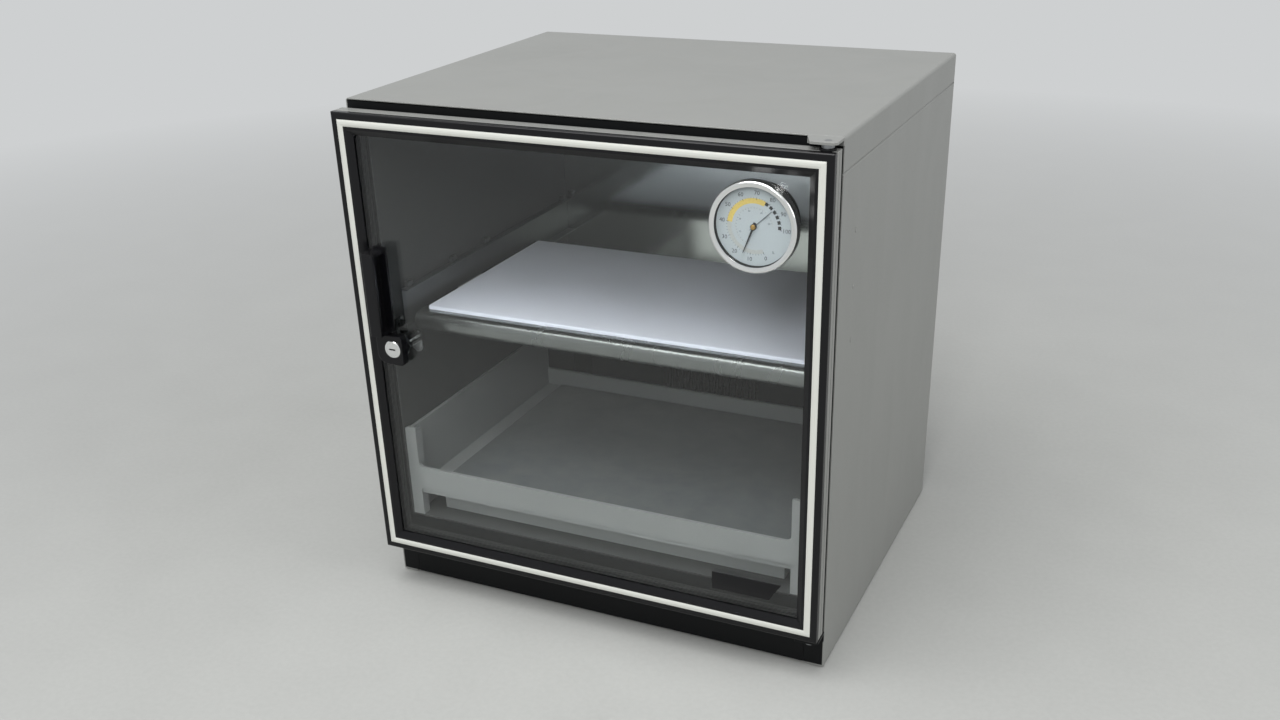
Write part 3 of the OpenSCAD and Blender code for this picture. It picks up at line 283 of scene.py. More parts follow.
# %% [markdown]
# ## Painted and plated metal
# The outside is a fine metallic grey paint, seen lighter on top than on the side. The front
# frame and the plinth are black, the chamber is lined with dark grey painted sheet, and the
# hardware is zinc, steel and chrome. The shelf is bright steel, its rails are duller. The
# dial's plate, hands and inks are listed here too.

# %% Metal finishes
finishes = {
    "body_paint": hard_finish("metallic grey paint", srgb(150, 151, 148), 0.42, metallic=0.3,
                              grain=2600, fleck=0.10, bump=0.03, tone=0.02, rub=0.25,
                              dust=0.05, wipe=0.05),
    "black_paint": hard_finish("black paint", srgb(20, 21, 22), 0.38, grain=1800, fleck=0.12,
                               bump=0.05, rub=0.25, rub_colour=srgb(95, 97, 98), dust=0.03),
    "liner_paint": hard_finish("lining paint", srgb(63, 64, 64), 0.45, grain=300, fleck=0.01,
                               bump=0.0, tone=0.04, wipe=0.08),
    "zinc_steel": hard_finish("zinc plate", srgb(142, 144, 146), 0.30, metallic=1.0,
                              grain=420, fleck=0.05, bump=0.02, tone=0.04, tone_scale=60),
    "shelf_steel": hard_finish("shelf steel", srgb(132, 135, 134), 0.26, metallic=0.9,
                               grain=1400, fleck=0.01, bump=0.0, tone=0.02),
    "bright_trim": hard_finish("bright bead", srgb(228, 229, 222), 0.32, metallic=0.2,
                               grain=2400, fleck=0.01, bump=0.008, tone=0.01, wipe=0.03),
    "chrome_ring": hard_finish("chrome", srgb(236, 237, 236), 0.18, metallic=1.0, fleck=0.01,
                               bump=0.004, tone=0.02, wipe=0.05),
    "mirror_steel": hard_finish("bright rear wall", srgb(206, 211, 208), 0.13, metallic=1.0,
                                fleck=0.01, bump=0.003, tone=0.01, wipe=0.03),
    "bimetal": hard_finish("brass strip", srgb(196, 160, 96), 0.30, metallic=1.0, grain=1500),
    "hand_black": hard_finish("black hand", srgb(22, 22, 24), 0.35, grain=3000, bump=0.02),
    "hand_grey": hard_finish("grey hand", srgb(96, 100, 106), 0.35, metallic=0.5, bump=0.02),
    "dial_face": hard_finish("dial face", srgb(164, 171, 176), 0.55, grain=3500, fleck=0.02,
                             bump=0.02, tone=0.02, wipe=0.03),
    "rail_steel": hard_finish("dull rail steel", srgb(92, 95, 95), 0.36, metallic=0.8,
                              grain=700, fleck=0.02, bump=0.01, tone=0.05),
    "dial_grey": hard_finish("grey ink", srgb(164, 166, 164), 0.6, bump=0.01),
    "dial_yellow": hard_finish("yellow ink", srgb(196, 172, 92), 0.6, bump=0.01),
}
print(len(finishes), "finishes for metal and the dial")

# %% [markdown]
# ## Plastics, rubber and board
# The door bezel, handle and lock housing are glossy black mouldings. The feet, the seal and
# the rear covers are matt. The rack is a smoke grey plastic that lets a little light through.
# The desiccant's cartridge gets a dark colour, which paints the shade it lies in behind the rack.
# A few finishes
# then get values of their own: a thin clear coat, or a weaker reflection for the black ones.

# %% Plastic finishes
finishes.update({
    "gloss_black": hard_finish("glossy black moulding", srgb(11, 11, 14), 0.24, grain=1600,
                               fleck=0.06, bump=0.02, rub=0.10, rub_colour=srgb(110, 112, 116),
                               dust=0.02, wipe=0.08),
    "matt_black": hard_finish("matt black moulding", srgb(25, 26, 27), 0.55, grain=1100,
                              fleck=0.10, bump=0.10, dust=0.04),
    "seal": hard_finish("seal rubber", srgb(24, 24, 25), 0.62, grain=800, fleck=0.15, bump=0.12,
                        dust=0.05),
    "foot_rubber": hard_finish("foot rubber", srgb(28, 28, 28), 0.75, grain=700, fleck=0.2,
                               bump=0.2),
    "rack_smoke": hard_finish("smoke plastic", srgb(134, 136, 136), 0.34, grain=900, fleck=0.03,
                              bump=0.03, tone=0.03, rub=0.2, dust=0.05, wipe=0.10),
    # the desiccant's dark colour is painted shade, for how dim it lies behind the rack
    "desiccant": hard_finish("desiccant case in painted shade", srgb(58, 58, 56), 0.6),
    "board": hard_finish("circuit board", srgb(38, 84, 52), 0.35, grain=500, fleck=0.2),
    "flap": hard_finish("natural moulding", srgb(196, 188, 160), 0.45),
    "lamp": hard_finish("red lamp", srgb(176, 30, 24), 0.15, bump=0.01),
})
OWN_VALUES = {
    "rack_smoke": {"Transmission Weight": 0.12, "Coat Weight": 0.15},
    "lamp": {"Coat Weight": 0.10, "Coat Roughness": 0.10},
    "gloss_black": {"Coat Weight": 0.10, "Coat Roughness": 0.10, "Specular IOR Level": 0.25},
    "black_paint": {"Specular IOR Level": 0.12},
    "liner_paint": {"Specular IOR Level": 0.25},
    "matt_black": {"Specular IOR Level": 0.15},
}
for name, values in OWN_VALUES.items():
    for label, value in values.items():
        shader_of(finishes[name]).inputs[label].default_value = value

# %% [markdown]
# ## Foam
# The two mats are cut from fine closed-cell foam. Its cells are far smaller than a camera
# sees from a step away, so they are a Voronoi bump with a faint change of tone, and the sheen
# that foam has at a low angle comes from the shader.

# %% Foam cells
foam_cells, given, result = make_group(
    "foam cells", [("Vector", VECTOR, None), ("Scale", FLOAT, 1400.0), ("Bump", FLOAT, 0.3)],
    [("Value", FLOAT), ("Normal", VECTOR)])
cells = put(foam_cells, "TexVoronoi", {"Vector": given["Vector"], "Scale": given["Scale"],
                                       "Randomness": 0.9}).outputs["Distance"]
pits = put(foam_cells, "Bump", {"Strength": given["Bump"], "Distance": 0.3 * MM,
                                "Height": cells})
foam_cells.links.new(cells, result.inputs["Value"])
foam_cells.links.new(pits.outputs["Normal"], result.inputs["Normal"])
CELL_MIDDLE, CELL_WALL = 0.94, 1.03  # shares of the foam's colour


def foam(name, colour):
    made = hard_finish(name, colour, 0.72, tone=0.03, tone_scale=8, fleck=0.0, dust=0.08)
    tree, shader = made.node_tree, shader_of(made)
    vector = put(tree, "TexCoord").outputs["Object"]
    cells = place(tree, foam_cells, {"Vector": vector})
    tree.links.new(cells["Normal"], shader.inputs["Normal"])
    base = shader.inputs["Base Color"].links[0].from_socket
    pit = ramp(tree, cells["Value"], 0.0, 0.9, CELL_MIDDLE, CELL_WALL)
    toned = mix_colour(tree, 1.0, base, grey(tree, pit), "MULTIPLY")
    tree.links.new(toned, shader.inputs["Base Color"])
    shader.inputs["Sheen Weight"].default_value = 0.15
    shader.inputs["Sheen Roughness"].default_value = 0.5
    return made


finishes["mat_pale"] = foam("pale foam", srgb(222, 225, 238))
finishes["mat_dark"] = foam("dark foam", srgb(75, 79, 81))

# %% [markdown]
# ## Glass
# The door is a clear pane with a faint green tint. A real pane lets lamp light straight
# through, while a path tracer would treat it as a dark solid, so the shadow rays see a plain
# tinted sheet instead, and the camera sees true glass with its reflections.

# %% Glass with light shadows
GLASS_IOR = 1.38  # real glass has 1.5; with less, the pane mirrors less of the pale sky
GLASS_SHADOW = 0.94


def clear_glass(name, tint):
    made, tree, shader = new_material(name)
    shader.inputs["Base Color"].default_value = tint
    shader.inputs["Transmission Weight"].default_value = 1.0
    shader.inputs["IOR"].default_value = GLASS_IOR
    shader.inputs["Roughness"].default_value = 0.0
    passing = put(tree, "BsdfTransparent", {"Color": shade(tint, GLASS_SHADOW)})
    rays = put(tree, "LightPath").outputs["Is Shadow Ray"]
    mixed = put(tree, "MixShader", {0: rays, 1: shader.outputs[0], 2: passing.outputs[0]})
    tree.links.new(mixed.outputs[0], tree.nodes["Material Output"].inputs["Surface"])
    return made


finishes["pane"] = clear_glass("door glass", srgb(250, 252, 251))

# %% [markdown]
# ## Finishes go on
# The imported record names a material slot for each node. The finish with that name replaces
# whatever the import left there. The shelf rails get a darker finish, and the hinge bushes a matt
# black one that paints the shade under the top hinge bracket. Flat sheet metal and mouldings also
# get their small edge radii here: doubled corners are welded, coplanar triangles joined, and
# sharp edges rounded.

# %% Finish every node
SAME_POINT = 0.001 * MM
FLAT_WITHIN, SHARP_ABOVE, CUT_ABOVE = (math.radians(a) for a in (1, 28, 60))


def round_edges(obj, name, radius, above):
    """Rounds the edges that turn by more than an angle."""
    edge = obj.modifiers.new(name, "BEVEL")
    edge.width, edge.segments = radius, 2
    edge.limit_method, edge.angle_limit = "ANGLE", above


def ease_edges(obj, radius):
    weld = obj.modifiers.new("weld", "WELD")
    weld.merge_threshold = SAME_POINT
    flat = obj.modifiers.new("flats", "DECIMATE")
    flat.decimate_type, flat.angle_limit = "DISSOLVE", FLAT_WITHIN
    round_edges(obj, "radius", radius, SHARP_ABOVE)


slots = {part["node"]: part["material_slot"] for part in frame["record"]["subparts"]}
for name, obj in nodes.items():
    obj.data.materials.clear()
    obj.data.materials.append(finishes[slots[name]])
print("finished", len(nodes), "nodes")

EDGE_RADII = {
    0.7 * MM: ("handle_grip", "lock_housing"),
    0.6 * MM: ("rack_tray",),
    0.4 * MM: ("dry_unit_case",),
    0.3 * MM: ("hinge_bracket_top", "hinge_bracket_bottom", "power_inlet", "dry_unit_grille"),
    0.25 * MM: ("left_side_panel", "right_side_panel", "front_frame", "plinth_front",
                "rear_panel"),
    0.2 * MM: ("door_rear_frame", "lock_strike", "rear_vent_cover", "shelf_rail_left",
               "shelf_rail_right", "hinge_bushes"),
}
for radius, names in EDGE_RADII.items():
    for name in names:
        ease_edges(nodes[name], radius)
# matt black on the hinge bushes is painted shade under the hinge bracket, in place of their pale
# moulding
for name, finish in (("hinge_bushes", "matt_black"), ("shelf_rail_left", "rail_steel"),
                     ("shelf_rail_right", "rail_steel")):
    nodes[name].data.materials[0] = finishes[finish]

# %% [markdown]
# ## New pieces
# What follows is modelled here. A new piece starts as a bmesh in the cabinet's own frame, and
# one function turns it into an object that rides on its body and takes its slot's finish. The
# other three do what most of the pieces need: a box, a face pulled out, a rounded edge.

# %% A piece from a bmesh
def piece(name, form, body, slot, smooth=35):
    bmesh.ops.recalc_face_normals(form, faces=form.faces)
    mesh = bpy.data.meshes.new(name)
    form.to_mesh(mesh)
    form.free()
    mesh.materials.append(finishes[slot])
    obj = bpy.data.objects.new(name, mesh)
    bpy.context.scene.collection.objects.link(obj)
    if smooth:
        mesh.shade_smooth()
        mesh.set_sharp_from_angle(angle=math.radians(smooth))
    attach(obj, body)
    return obj


def slab(form, low, high):
    made = bmesh.ops.create_cube(form, size=1.0)["verts"]
    bmesh.ops.scale(form, vec=high - low, verts=made)
    bmesh.ops.translate(form, vec=(low + high) / 2, verts=made)


def pull_out(form, faces, step):
    """Extrudes faces by a step and returns the corners that moved."""
    grown = bmesh.ops.extrude_face_region(form, geom=faces)["geom"]
    moved = [v for v in grown if isinstance(v, bmesh.types.BMVert)]
    bmesh.ops.translate(form, vec=step, verts=moved)
    return moved


def bevel_edges(form, edges, width, segments):
    bmesh.ops.bevel(form, geom=edges, offset=width, offset_type="OFFSET", affect="EDGES",
                    segments=segments, profile=0.5, material=-1, clamp_overlap=True)


# %% [markdown]
# ## Bent sheet metal
# The shelf and the top cover are each one sheet with rounded bends, and light runs along a
# bend as one smooth line. A folded line gives the sheet's outside. Its inside is the same line
# moved in by the thickness, and each bend becomes an arc. The closed outline is then pulled
# along the third axis, and weighted normals keep the flats flat beside their bends.

# %% Outline of a folded sheet
BEND_STEPS = 10


def moved_in(corners, distance):
    """Moves a folded line to its right, with a mitre at each corner."""
    moved = []
    for i, corner in enumerate(corners):
        ends = corners[max(0, i - 1):i + 1], corners[i:i + 2]
        runs = [(pair[1] - pair[0]).normalized() for pair in ends if len(pair) == 2]
        sides = [Vector((run.y, -run.x)) for run in runs]
        total = sum(sides, Vector((0, 0)))
        moved.append(corner + total * distance / total.dot(sides[0]))
    return moved


def rounded(corners, radius):
    """Turns each inner corner of a folded line that bends to its right into an arc."""
    path = [corners[0]]
    for before, corner, after in zip(corners, corners[1:], corners[2:]):
        run, leave = (corner - before).normalized(), (after - corner).normalized()
        turn = run.angle(leave)
        start = corner - run * radius * math.tan(turn / 2)
        middle = start + Vector((run.y, -run.x)) * radius
        for step in range(BEND_STEPS + 1):
            path.append(middle + Matrix.Rotation(-turn * step / BEND_STEPS, 2) @ (start - middle))
    return path + [corners[-1]]


def folded_sheet(form, corners, radius, thickness, lift, pull):
    """Adds a folded sheet; lift places a point of the outline, and pull is its length."""
    inner = rounded(moved_in(corners, thickness), radius - thickness)
    outline = rounded(corners, radius) + inner[::-1]
    face = form.faces.new([form.verts.new(lift(point)) for point in outline])
    pull_out(form, [face], pull)


def keep_flats(obj, edge):
    round_edges(obj, "cut edges", edge, CUT_ABOVE)
    weighted = obj.modifiers.new("flats", "WEIGHTED_NORMAL")
    weighted.keep_sharp = True


# %% Shelf with its rolled lip
SHEET, SHELF_EDGE = 1.0 * MM, 0.15 * MM
ROLL, LIP_RETURN, SHELF_SIDE = 6.4 * MM, 7.4 * MM, 8.0 * MM
tray_low, tray_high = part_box("shelf_tray")
shelf_fold = [Vector(point) for point in (
    (tray_low.y + LIP_RETURN, tray_low.z), (tray_low.y, tray_low.z), (tray_low.y, tray_high.z),
    (tray_high.y, tray_high.z), (tray_high.y, tray_high.z - SHELF_SIDE))]
shelf_form = bmesh.new()
folded_sheet(shelf_form, shelf_fold, ROLL, SHEET, lambda p: (tray_low.x, p.x, p.y),
             (tray_high.x - tray_low.x, 0, 0))
for edge_x in (tray_low.x, tray_high.x - SHEET):
    slab(shelf_form, Vector((edge_x, tray_low.y + 2 * ROLL, tray_high.z - SHELF_SIDE)),
         Vector((edge_x + SHEET, tray_high.y - ROLL, tray_high.z - SHEET / 2)))
print("shelf", len(shelf_form.faces), "faces")
shelf_sheet = piece("shelf_sheet", shelf_form, "shelf", "shelf_steel")
keep_flats(shelf_sheet, SHELF_EDGE)
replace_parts(shelf_sheet, "shelf_tray")

# %% [markdown]
# The cover's skirts start where the side panels do. In front of them only its top runs on over
# the door's gap, and it stops short of the hinge bracket at the right.

# %% Cover with its two skirts
COVER_BEND, BRACKET_ROOM, COVER_EDGE = 2.5 * MM, 26.2 * MM, 0.2 * MM
cover_low, cover_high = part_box("top_cover")
skirt_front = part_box("left_side_panel")[0].y
cover_fold = [Vector(point) for point in (
    (cover_low.x, cover_low.z), (cover_low.x, cover_high.z), (cover_high.x, cover_high.z),
    (cover_high.x, cover_low.z))]
cover_form = bmesh.new()
folded_sheet(cover_form, cover_fold, COVER_BEND, SHEET, lambda p: (p.x, skirt_front, p.y),
             (0, cover_high.y - skirt_front, 0))
slab(cover_form, Vector((cover_low.x + COVER_BEND, cover_low.y, cover_high.z - SHEET)),
     Vector((cover_high.x - BRACKET_ROOM, skirt_front + SHEET / 2, cover_high.z)))
print("cover", len(cover_form.faces), "faces")
cover_sheet = piece("cover_sheet", cover_form, "cabinet", "body_paint")
keep_flats(cover_sheet, COVER_EDGE)
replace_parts(cover_sheet, "top_cover")

# %% [markdown]
# ## Foam mats
# Each mat is a sheet of foam with cut corners that lies on the shelf or in the rack. It starts
# as a box of the size that the solid model holds for it. Its standing edges get the corner
# radius and its top rim a small soft one, because a knife leaves foam slightly round.

# %% Two mats
MAT_CORNER, MAT_RIM = 3 * MM, 1.4 * MM


def foam_mat(node, body):
    low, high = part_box(node)
    form = bmesh.new()
    slab(form, low, high)
    standing = [e for e in form.edges if abs(e.verts[0].co.z - e.verts[1].co.z) > MAT_RIM]
    bevel_edges(form, standing, MAT_CORNER, 5)
    top = [e for e in form.edges if all(v.co.z > high.z - MAT_RIM / 4 for v in e.verts)]
    bevel_edges(form, top, MAT_RIM, 3)
    mat = piece(node + "_foam", form, body, slots[node])
    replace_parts(mat, node)
    return mat


for node, body in (("shelf_mat", "shelf"), ("rack_mat", "rack")):
    mat = foam_mat(node, body)
    print(mat.name, len(mat.data.polygons), "faces")

# %% [markdown]
# ## The door seal
# The rubber seal is a bellows that the shut door squeezes: its two walls fold in at the
# middle and it ends in a round lip. The walls' profile is worked out point by point and then
# carried round the door, with a mitre at each corner.

# %% Bellows round the door
seal_low, seal_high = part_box("door_gasket")
SEAL_W, SEAL_FOLD, SEAL_STEPS = 7.0 * MM, 1.2 * MM, 14
# Shares of the seal's depth: where the fold is and how wide, where the lip starts and how
# long it is, and where its two walls meet.
FOLD_AT, FOLD_WIDTH = 0.4, 0.13
LIP_FROM, LIP_LENGTH, WALLS_MEET = 0.72, 0.28, 0.985


def bellows_wall(share):
    """How far a wall stands in from its widest place, for a share of the seal's depth."""
    fold = SEAL_FOLD * math.exp(-((share - FOLD_AT) / FOLD_WIDTH) ** 2)
    along_lip = max(0.0, (share - LIP_FROM) / LIP_LENGTH)
    return fold + SEAL_W / 2 * (1 - math.sqrt(max(0.0, 1 - along_lip ** 2)))


shares = [i / SEAL_STEPS for i in range(SEAL_STEPS)] + [WALLS_MEET]
outer = [(bellows_wall(t), t) for t in shares]
profile = outer + [(SEAL_W - u, t) for u, t in reversed(outer)]
seal = bmesh.new()
rings = []
for u, t in profile:
    y = seal_low.y + t * (seal_high.y - seal_low.y)
    x0, x1, z0, z1 = seal_low.x + u, seal_high.x - u, seal_low.z + u, seal_high.z - u
    rings.append([seal.verts.new(p) for p in ((x0, y, z0), (x1, y, z0), (x1, y, z1),
                                              (x0, y, z1))])
for ring, following in zip(rings, rings[1:] + rings[:1]):
    for i in range(4):
        j = (i + 1) % 4
        seal.faces.new((ring[i], ring[j], following[j], following[i]))
print("door seal", len(seal.faces), "faces")
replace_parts(piece("door_seal", seal, "door", "seal", smooth=50), "door_gasket")

# %% [markdown]
# ## The printed dial
# The round instrument reads humidity with its black hand and temperature with the grey one.
# Print is ink on a plate, so its marks are solids a few hundredths of a millimetre thick,
# laid on the dial. A mark is drawn at a clock angle: an edge is spun about the spindle for a
# band, and small cubes are turned to their places for the ticks.

# %% Dial places
dial_low, dial_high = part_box("gauge_dial")
DIAL_CENTRE = Vector(((dial_low.x + dial_high.x) / 2, dial_low.y, (dial_low.z + dial_high.z) / 2))
INK = 0.03 * MM
SCALE_START, SCALE_SWEEP = 158, 295  # degrees, for 0 to 100 percent
FACE_DOWN = Matrix.Rotation(math.radians(90), 4, "X")


def on_dial(clock, radius, lift=0.0):
    """Turns a shape drawn round the origin in x and z, and moves it out along the clock angle."""
    turn = Matrix.Rotation(math.radians(clock), 4, "Y")
    return Matrix.Translation(DIAL_CENTRE + Vector((0, -lift, 0))) @ turn @ Matrix.Translation(
        (0, 0, radius))


def scale_angle(value):
    return SCALE_START + SCALE_SWEEP * value / 100


# %% Bands, ticks and numbers
BAND_STEP = 4  # degrees


def band(form, start, end, r0, r1):
    """Adds a band of ink between two values of the scale and two radii."""
    clock, sweep = scale_angle(start), scale_angle(end) - scale_angle(start)
    verts = [form.verts.new(on_dial(clock, r) @ Vector()) for r in (r0, r1)]
    edge = form.edges.new(verts)
    steps = max(2, int(sweep / BAND_STEP))
    bmesh.ops.spin(form, geom=[edge, *verts], cent=DIAL_CENTRE, axis=(0, 1, 0),
                   angle=math.radians(sweep), steps=steps)
    form.faces.ensure_lookup_table()
    pull_out(form, form.faces[-steps:], (0, -INK, 0))


def tick(form, value, r0, r1, width):
    made = bmesh.ops.create_cube(form, size=1.0)["verts"]
    bmesh.ops.scale(form, vec=(width, INK, r1 - r0), verts=made)
    bmesh.ops.transform(form, matrix=on_dial(scale_angle(value), (r0 + r1) / 2, INK / 2),
                        verts=made)


def words(form, text, value, radius, size):
    """Adds a short text as a solid of ink that stands upright at a value of the scale."""
    curve = bpy.data.curves.new("text", "FONT")
    curve.body, curve.size, curve.extrude = text, size, INK / 2
    curve.align_x, curve.align_y, curve.resolution_u = "CENTER", "CENTER", 2
    holder = bpy.data.objects.new("text", curve)
    bpy.context.scene.collection.objects.link(holder)
    bpy.context.view_layer.update()
    mesh = bpy.data.meshes.new_from_object(holder)
    clock = scale_angle(value)
    mesh.transform(on_dial(clock, radius, INK / 2)
                   @ Matrix.Rotation(math.radians(-clock), 4, "Y") @ FACE_DOWN)
    form.from_mesh(mesh)
    bpy.data.objects.remove(holder)
    bpy.data.curves.remove(curve)
    bpy.data.meshes.remove(mesh)


GOOD_FROM, GOOD_TO = 40, 77  # percent
WARM_START, WARM_STEP = 14, 16  # the inner scale's zero and ten degrees, on the outer one
BLOCK_STEP, BLOCK_LENGTH = 4, 2.6  # percent, for the black blocks past the good range
CIRCLE_R, TICK_R = 13.7 * MM, 20.8 * MM

for name, slot, start, end, r0, r1 in (
        ("dial_band_dry", "dial_grey", 0, GOOD_FROM, 16.9 * MM, 19.9 * MM),
        ("dial_band_good", "dial_yellow", GOOD_FROM, GOOD_TO, 16.4 * MM, 20.2 * MM),
        ("dial_circle", "dial_grey", 10, 98, CIRCLE_R, 14.0 * MM)):
    form = bmesh.new()
    band(form, start, end, r0, r1)
    piece(name, form, "door", slot, smooth=0)

ticks = bmesh.new()
for step in range(51):
    tick_from, width = (19.2, 0.32) if step % 5 == 0 else (19.9, 0.18)
    tick(ticks, step * 2, tick_from * MM, TICK_R, width * MM)
for step in range(6):
    start = GOOD_TO + BLOCK_STEP * step
    band(ticks, start, start + BLOCK_LENGTH, 17.7 * MM, 20.0 * MM)
for step in range(26):
    tick(ticks, WARM_START + step * WARM_STEP / 5, 12.9 * MM, CIRCLE_R, 0.16 * MM)
piece("dial_ticks", ticks, "door", "hand_black", smooth=0)

numbers = bmesh.new()
for step in range(11):
    words(numbers, str(step * 10), step * 10, 24.0 * MM, 4.2 * MM)
words(numbers, "%", -6, 22.6 * MM, 2.6 * MM)
for step in range(6):
    words(numbers, str(step * 10), WARM_START + step * WARM_STEP, 11.4 * MM, 1.7 * MM)
print("dial print", len(numbers.faces), "faces")
piece("dial_numbers", numbers, "door", "hand_black", smooth=0)

# %% [markdown]
# ## Hub, plate and screws
# A brass cap holds the hands on their spindle. A bare black plate with one slanted end sits
# low on the glass. The screws of the rear panel get the cross recess that they are driven by:
# planes cut each head's flat end into strips, and the strips in the cross are pushed in.

# %% Brass cap on the dial's spindle
CAP_DEPTH = 0.8 * MM
cap_place = Vector((DIAL_CENTRE.x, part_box("humidity_hand")[0].y, DIAL_CENTRE.z))
cap = bmesh.new()
bmesh.ops.create_cone(cap, cap_ends=True, segments=32, radius1=2.0 * MM, radius2=1.7 * MM,
                      depth=CAP_DEPTH, matrix=Matrix.Translation(
                          cap_place + Vector((0, -CAP_DEPTH / 2, 0))) @ FACE_DOWN)
rim = [e for e in cap.edges if all(v.co.y < cap_place.y - CAP_DEPTH * 0.9 for v in e.verts)]
bevel_edges(cap, rim, 0.3 * MM, 3)
piece("dial_cap", cap, "humidity_pointer", "bimetal")

# %% Bare plate on the glass
PLATE = ((113.6, 67.0), (162.3, 67.0), (172.6, 82.7), (113.6, 82.7))  # x and z of its corners
PLATE_DEPTH, PLATE_EDGE = 0.5 * MM, 0.15 * MM
plate = bmesh.new()
plate_face = plate.faces.new([plate.verts.new(Vector((x, 0, z)) * MM) for x, z in PLATE])
bmesh.ops.translate(plate, vec=(0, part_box("glass_pane")[0].y, 0), verts=plate.verts)
front = pull_out(plate, [plate_face], (0, -PLATE_DEPTH, 0))
bevel_edges(plate, [e for e in plate.edges if all(v in front for v in e.verts)], PLATE_EDGE, 2)
piece("door_plate", plate, "door", "gloss_black")


# %% Screw heads with a cross recess
# Shares of the head's radius and of its height
CROSS_HALF_WIDTH, CROSS_ARM = 0.11, 0.52
DOME, CROSS_DEPTH, END_FACE = 0.6, 0.6, 0.49


def screw_head(form, centre, radius, height):
    """Adds a domed head that stands out along y from its seat at the centre."""
    head = bmesh.new()
    bmesh.ops.create_cone(head, cap_ends=True, segments=28, radius1=radius, radius2=radius,
                          depth=height)
    rim = [e for e in head.edges if all(v.co.z > height / 4 for v in e.verts)]
    bevel_edges(head, rim, height * DOME, 4)
    half, arm = radius * CROSS_HALF_WIDTH, radius * CROSS_ARM
    for axis in ((1, 0, 0), (0, 1, 0)):
        for distance in (-arm, -half, half, arm):
            flat = [f for f in head.faces if f.calc_center_median().z > height * END_FACE]
            edges = list(dict.fromkeys(e for f in flat for e in f.edges))
            bmesh.ops.bisect_plane(head, geom=flat + edges, plane_co=Vector(axis) * distance,
                                   plane_no=axis)
    cross = []
    for face in head.faces:
        spot = face.calc_center_median()
        reach = sorted((abs(spot.x), abs(spot.y)))
        if spot.z > height * END_FACE and reach[0] < half and reach[1] < arm:
            cross.append(face)
    pull_out(head, cross, (0, 0, -height * CROSS_DEPTH))
    bmesh.ops.transform(head, matrix=Matrix.Translation(centre) @ Matrix.Rotation(
        math.radians(-90), 4, "X") @ Matrix.Translation((0, 0, height / 2)), verts=head.verts)
    mesh = bpy.data.meshes.new("head")
    head.to_mesh(mesh)
    head.free()
    form.from_mesh(mesh)
    bpy.data.meshes.remove(mesh)


def screw_places(node):
    """Finds the box of each separate screw in a node."""
    form = bmesh.new()
    form.from_mesh(nodes[node].data)
    bmesh.ops.remove_doubles(form, verts=form.verts, dist=SAME_POINT)
    left, places = dict.fromkeys(form.verts), []
    while left:
        stack, shell = [left.popitem()[0]], []
        while stack:
            vert = stack.pop()
            shell.append(vert.co.copy())
            for edge in vert.link_edges:
                other = edge.other_vert(vert)
                if other in left:
                    del left[other]
                    stack.append(other)
        places.append((Vector([min(c[i] for c in shell) for i in range(3)]),
                       Vector([max(c[i] for c in shell) for i in range(3)])))
    form.free()
    return sorted(places, key=lambda box: tuple(round(v, 5) for v in box[0]))


heads = bmesh.new()
for low, high in screw_places("rear_screws"):
    middle = (low + high) / 2
    screw_head(heads, Vector((middle.x, low.y, middle.z)), (high.x - low.x) / 2, high.y - low.y)
print("rear screws", len(heads.faces), "faces")
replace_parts(piece("rear_screw_heads", heads, "cabinet", "zinc_steel", smooth=40), "rear_screws")

# %% [markdown]
# ## Wound springs
# Two coil springs inside the dry unit move its shutters. The solid model holds their room with
# plain tubes. Here a small ring of wire is spun round each spring's axis while it also moves
# along it, which is what a coil is.

# %% Two coils
WIRE_SIDES, STEPS_PER_TURN = 8, 20


def wound_spring(node, turns, wire):
    low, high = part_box(node)
    middle = (low + high) / 2
    size = high - low
    axis = max(range(3), key=lambda i: size[i])
    across = min(size[i] for i in range(3) if i != axis)
    length = size[axis] - wire
    along = Vector([1.0 if i == axis else 0.0 for i in range(3)])
    out = Vector([1.0 if i == (axis + 1) % 3 else 0.0 for i in range(3)])
    start = middle - along * length / 2
    form = bmesh.new()
    ring = bmesh.ops.create_circle(form, cap_ends=True, segments=WIRE_SIDES,
                                   radius=wire / 2)["verts"]
    lay = Matrix((out, along, out.cross(along))).transposed().to_4x4()
    bmesh.ops.transform(form, matrix=Matrix.Translation(
        start + out * (across - wire) / 2) @ lay, verts=ring)
    steps = turns * STEPS_PER_TURN
    bmesh.ops.spin(form, geom=form.faces[:], cent=start, axis=along,
                   dvec=along * length / steps, angle=math.tau * turns, steps=steps)
    coil = piece(node + "_coil", form, "cabinet", slots[node], smooth=60)
    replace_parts(coil, node)
    return coil


for node, turns, wire in (("memory_spring", 9, 0.8 * MM), ("bias_spring", 12, 0.6 * MM)):
    coil = wound_spring(node, turns, wire)
    print(coil.name, len(coil.data.polygons), "faces")

# %% [markdown]
# ## Floor and light
# A plain pale floor runs to the horizon, so that the cabinet is seen from any side with the
# same background. The lamps don't reach its far part, so the camera and the reflections see it
# fade into the colour of the sky, which leaves no horizon. What they see of the sky differs
# from the light that it gives. A broad soft lamp hangs over the front left, two weaker ones
# stand in front and at the right, and the sky does the rest.

# %% Floor
FLOOR_HALF = 12  # metres
floor_sheet = bmesh.new()
bmesh.ops.create_grid(floor_sheet, x_segments=1, y_segments=1, size=FLOOR_HALF)
floor_mesh = bpy.data.meshes.new("floor")
floor_sheet.to_mesh(floor_mesh)
floor_sheet.free()
floor = bpy.data.objects.new("floor", floor_mesh)
bpy.context.scene.collection.objects.link(floor)
pale_floor = hard_finish("pale floor", srgb(180, 181, 178), 0.7, tone=0.02, grain=200,
                         fleck=0.02, bump=0.0, wipe=0.0)
SKY, SKY_STRENGTH = srgb(236, 238, 240), 0.40
PALE_SKY = srgb(206, 208, 209)
FADE_START, FADE_END = 0.5, 2.2


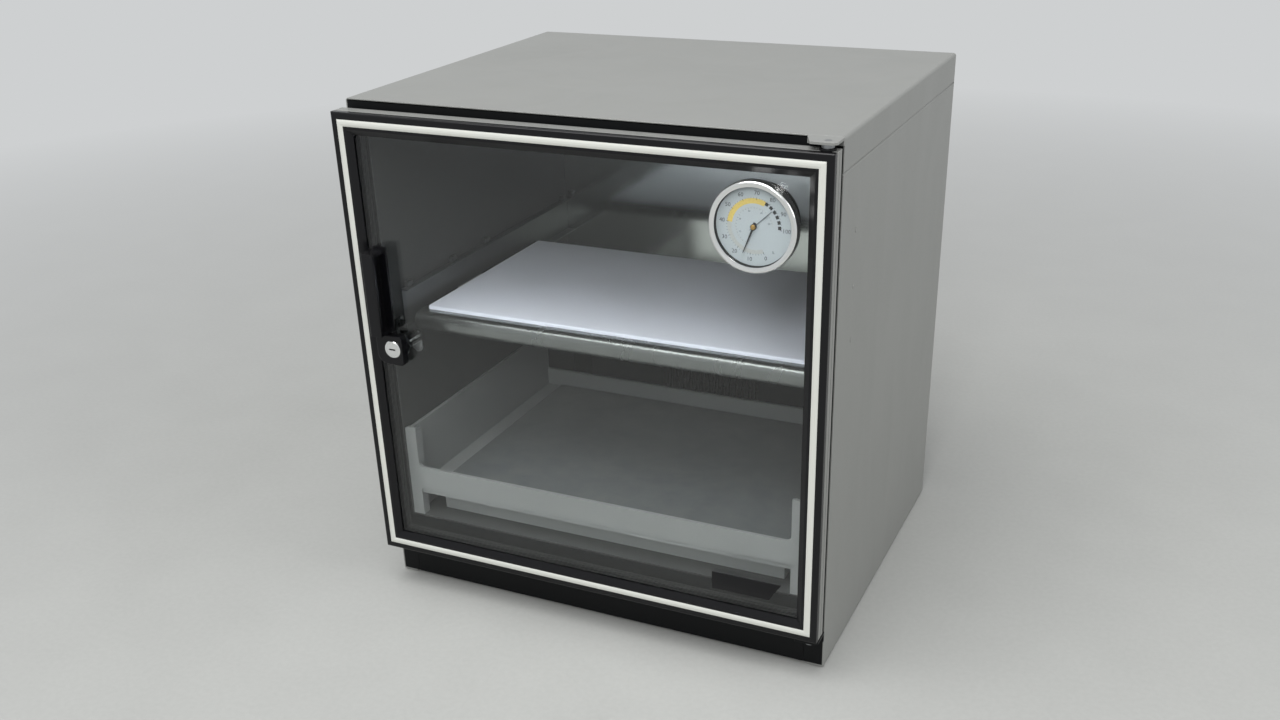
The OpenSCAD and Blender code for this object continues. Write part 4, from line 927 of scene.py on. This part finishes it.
def seen_directly(tree):
    """1 where the camera, a reflection or a view through glass looks, and 0 for light."""
    rays = put(tree, "LightPath").outputs
    bent = math_node(tree, "MAXIMUM", rays["Is Glossy Ray"], rays["Is Transmission Ray"])
    return math_node(tree, "MAXIMUM", rays["Is Camera Ray"], bent)


floor_tree = pale_floor.node_tree
away = put(floor_tree, "VectorMath", {0: put(floor_tree, "TexCoord").outputs["Object"]},
           operation="LENGTH").outputs["Value"]
fade = math_node(floor_tree, "MULTIPLY", ramp(floor_tree, away, FADE_START, FADE_END),
                 seen_directly(floor_tree))
far = put(floor_tree, "Emission", {"Color": PALE_SKY}).outputs[0]
near = shader_of(pale_floor).outputs[0]
blend = put(floor_tree, "MixShader", {0: fade, 1: near, 2: far}).outputs[0]
floor_tree.links.new(blend, floor_tree.nodes["Material Output"].inputs["Surface"])
floor.data.materials.append(pale_floor)


# %% Lamps and sky
def softbox(name, spot, aim, size, power):
    data = bpy.data.lights.new(name, "AREA")
    data.shape, data.size, data.energy = "SQUARE", size, power
    lamp = bpy.data.objects.new(name, data)
    lamp.location = spot
    lamp.rotation_mode = "QUATERNION"
    lamp.rotation_quaternion = (Vector(spot) - aim).to_track_quat("Z", "Y")
    bpy.context.scene.collection.objects.link(lamp)


centre = (cad_low + cad_high) / 2
softbox("ceiling_panel", (-0.3, -0.9, 2.4), centre, 1.8, 46)
softbox("front_panel", (0.55, -2.35, 1.65), centre, 0.6, 18)
softbox("side_panel_light", (2.4, 0.0, 1.4), centre, 1.2, 18)

world = bpy.data.worlds.new("sky")
bpy.context.scene.world = world
world.use_nodes = True
sky_tree = world.node_tree
light = sky_tree.nodes["Background"]
light.inputs["Color"].default_value = SKY
light.inputs["Strength"].default_value = SKY_STRENGTH
pale = put(sky_tree, "Background", {"Color": PALE_SKY})
seen = put(sky_tree, "MixShader", {0: seen_directly(sky_tree), 1: light.outputs[0],
                                   2: pale.outputs[0]}).outputs[0]
sky_tree.links.new(seen, sky_tree.nodes["World Output"].inputs["Surface"])
bpy.context.scene.view_settings.view_transform = "Standard"
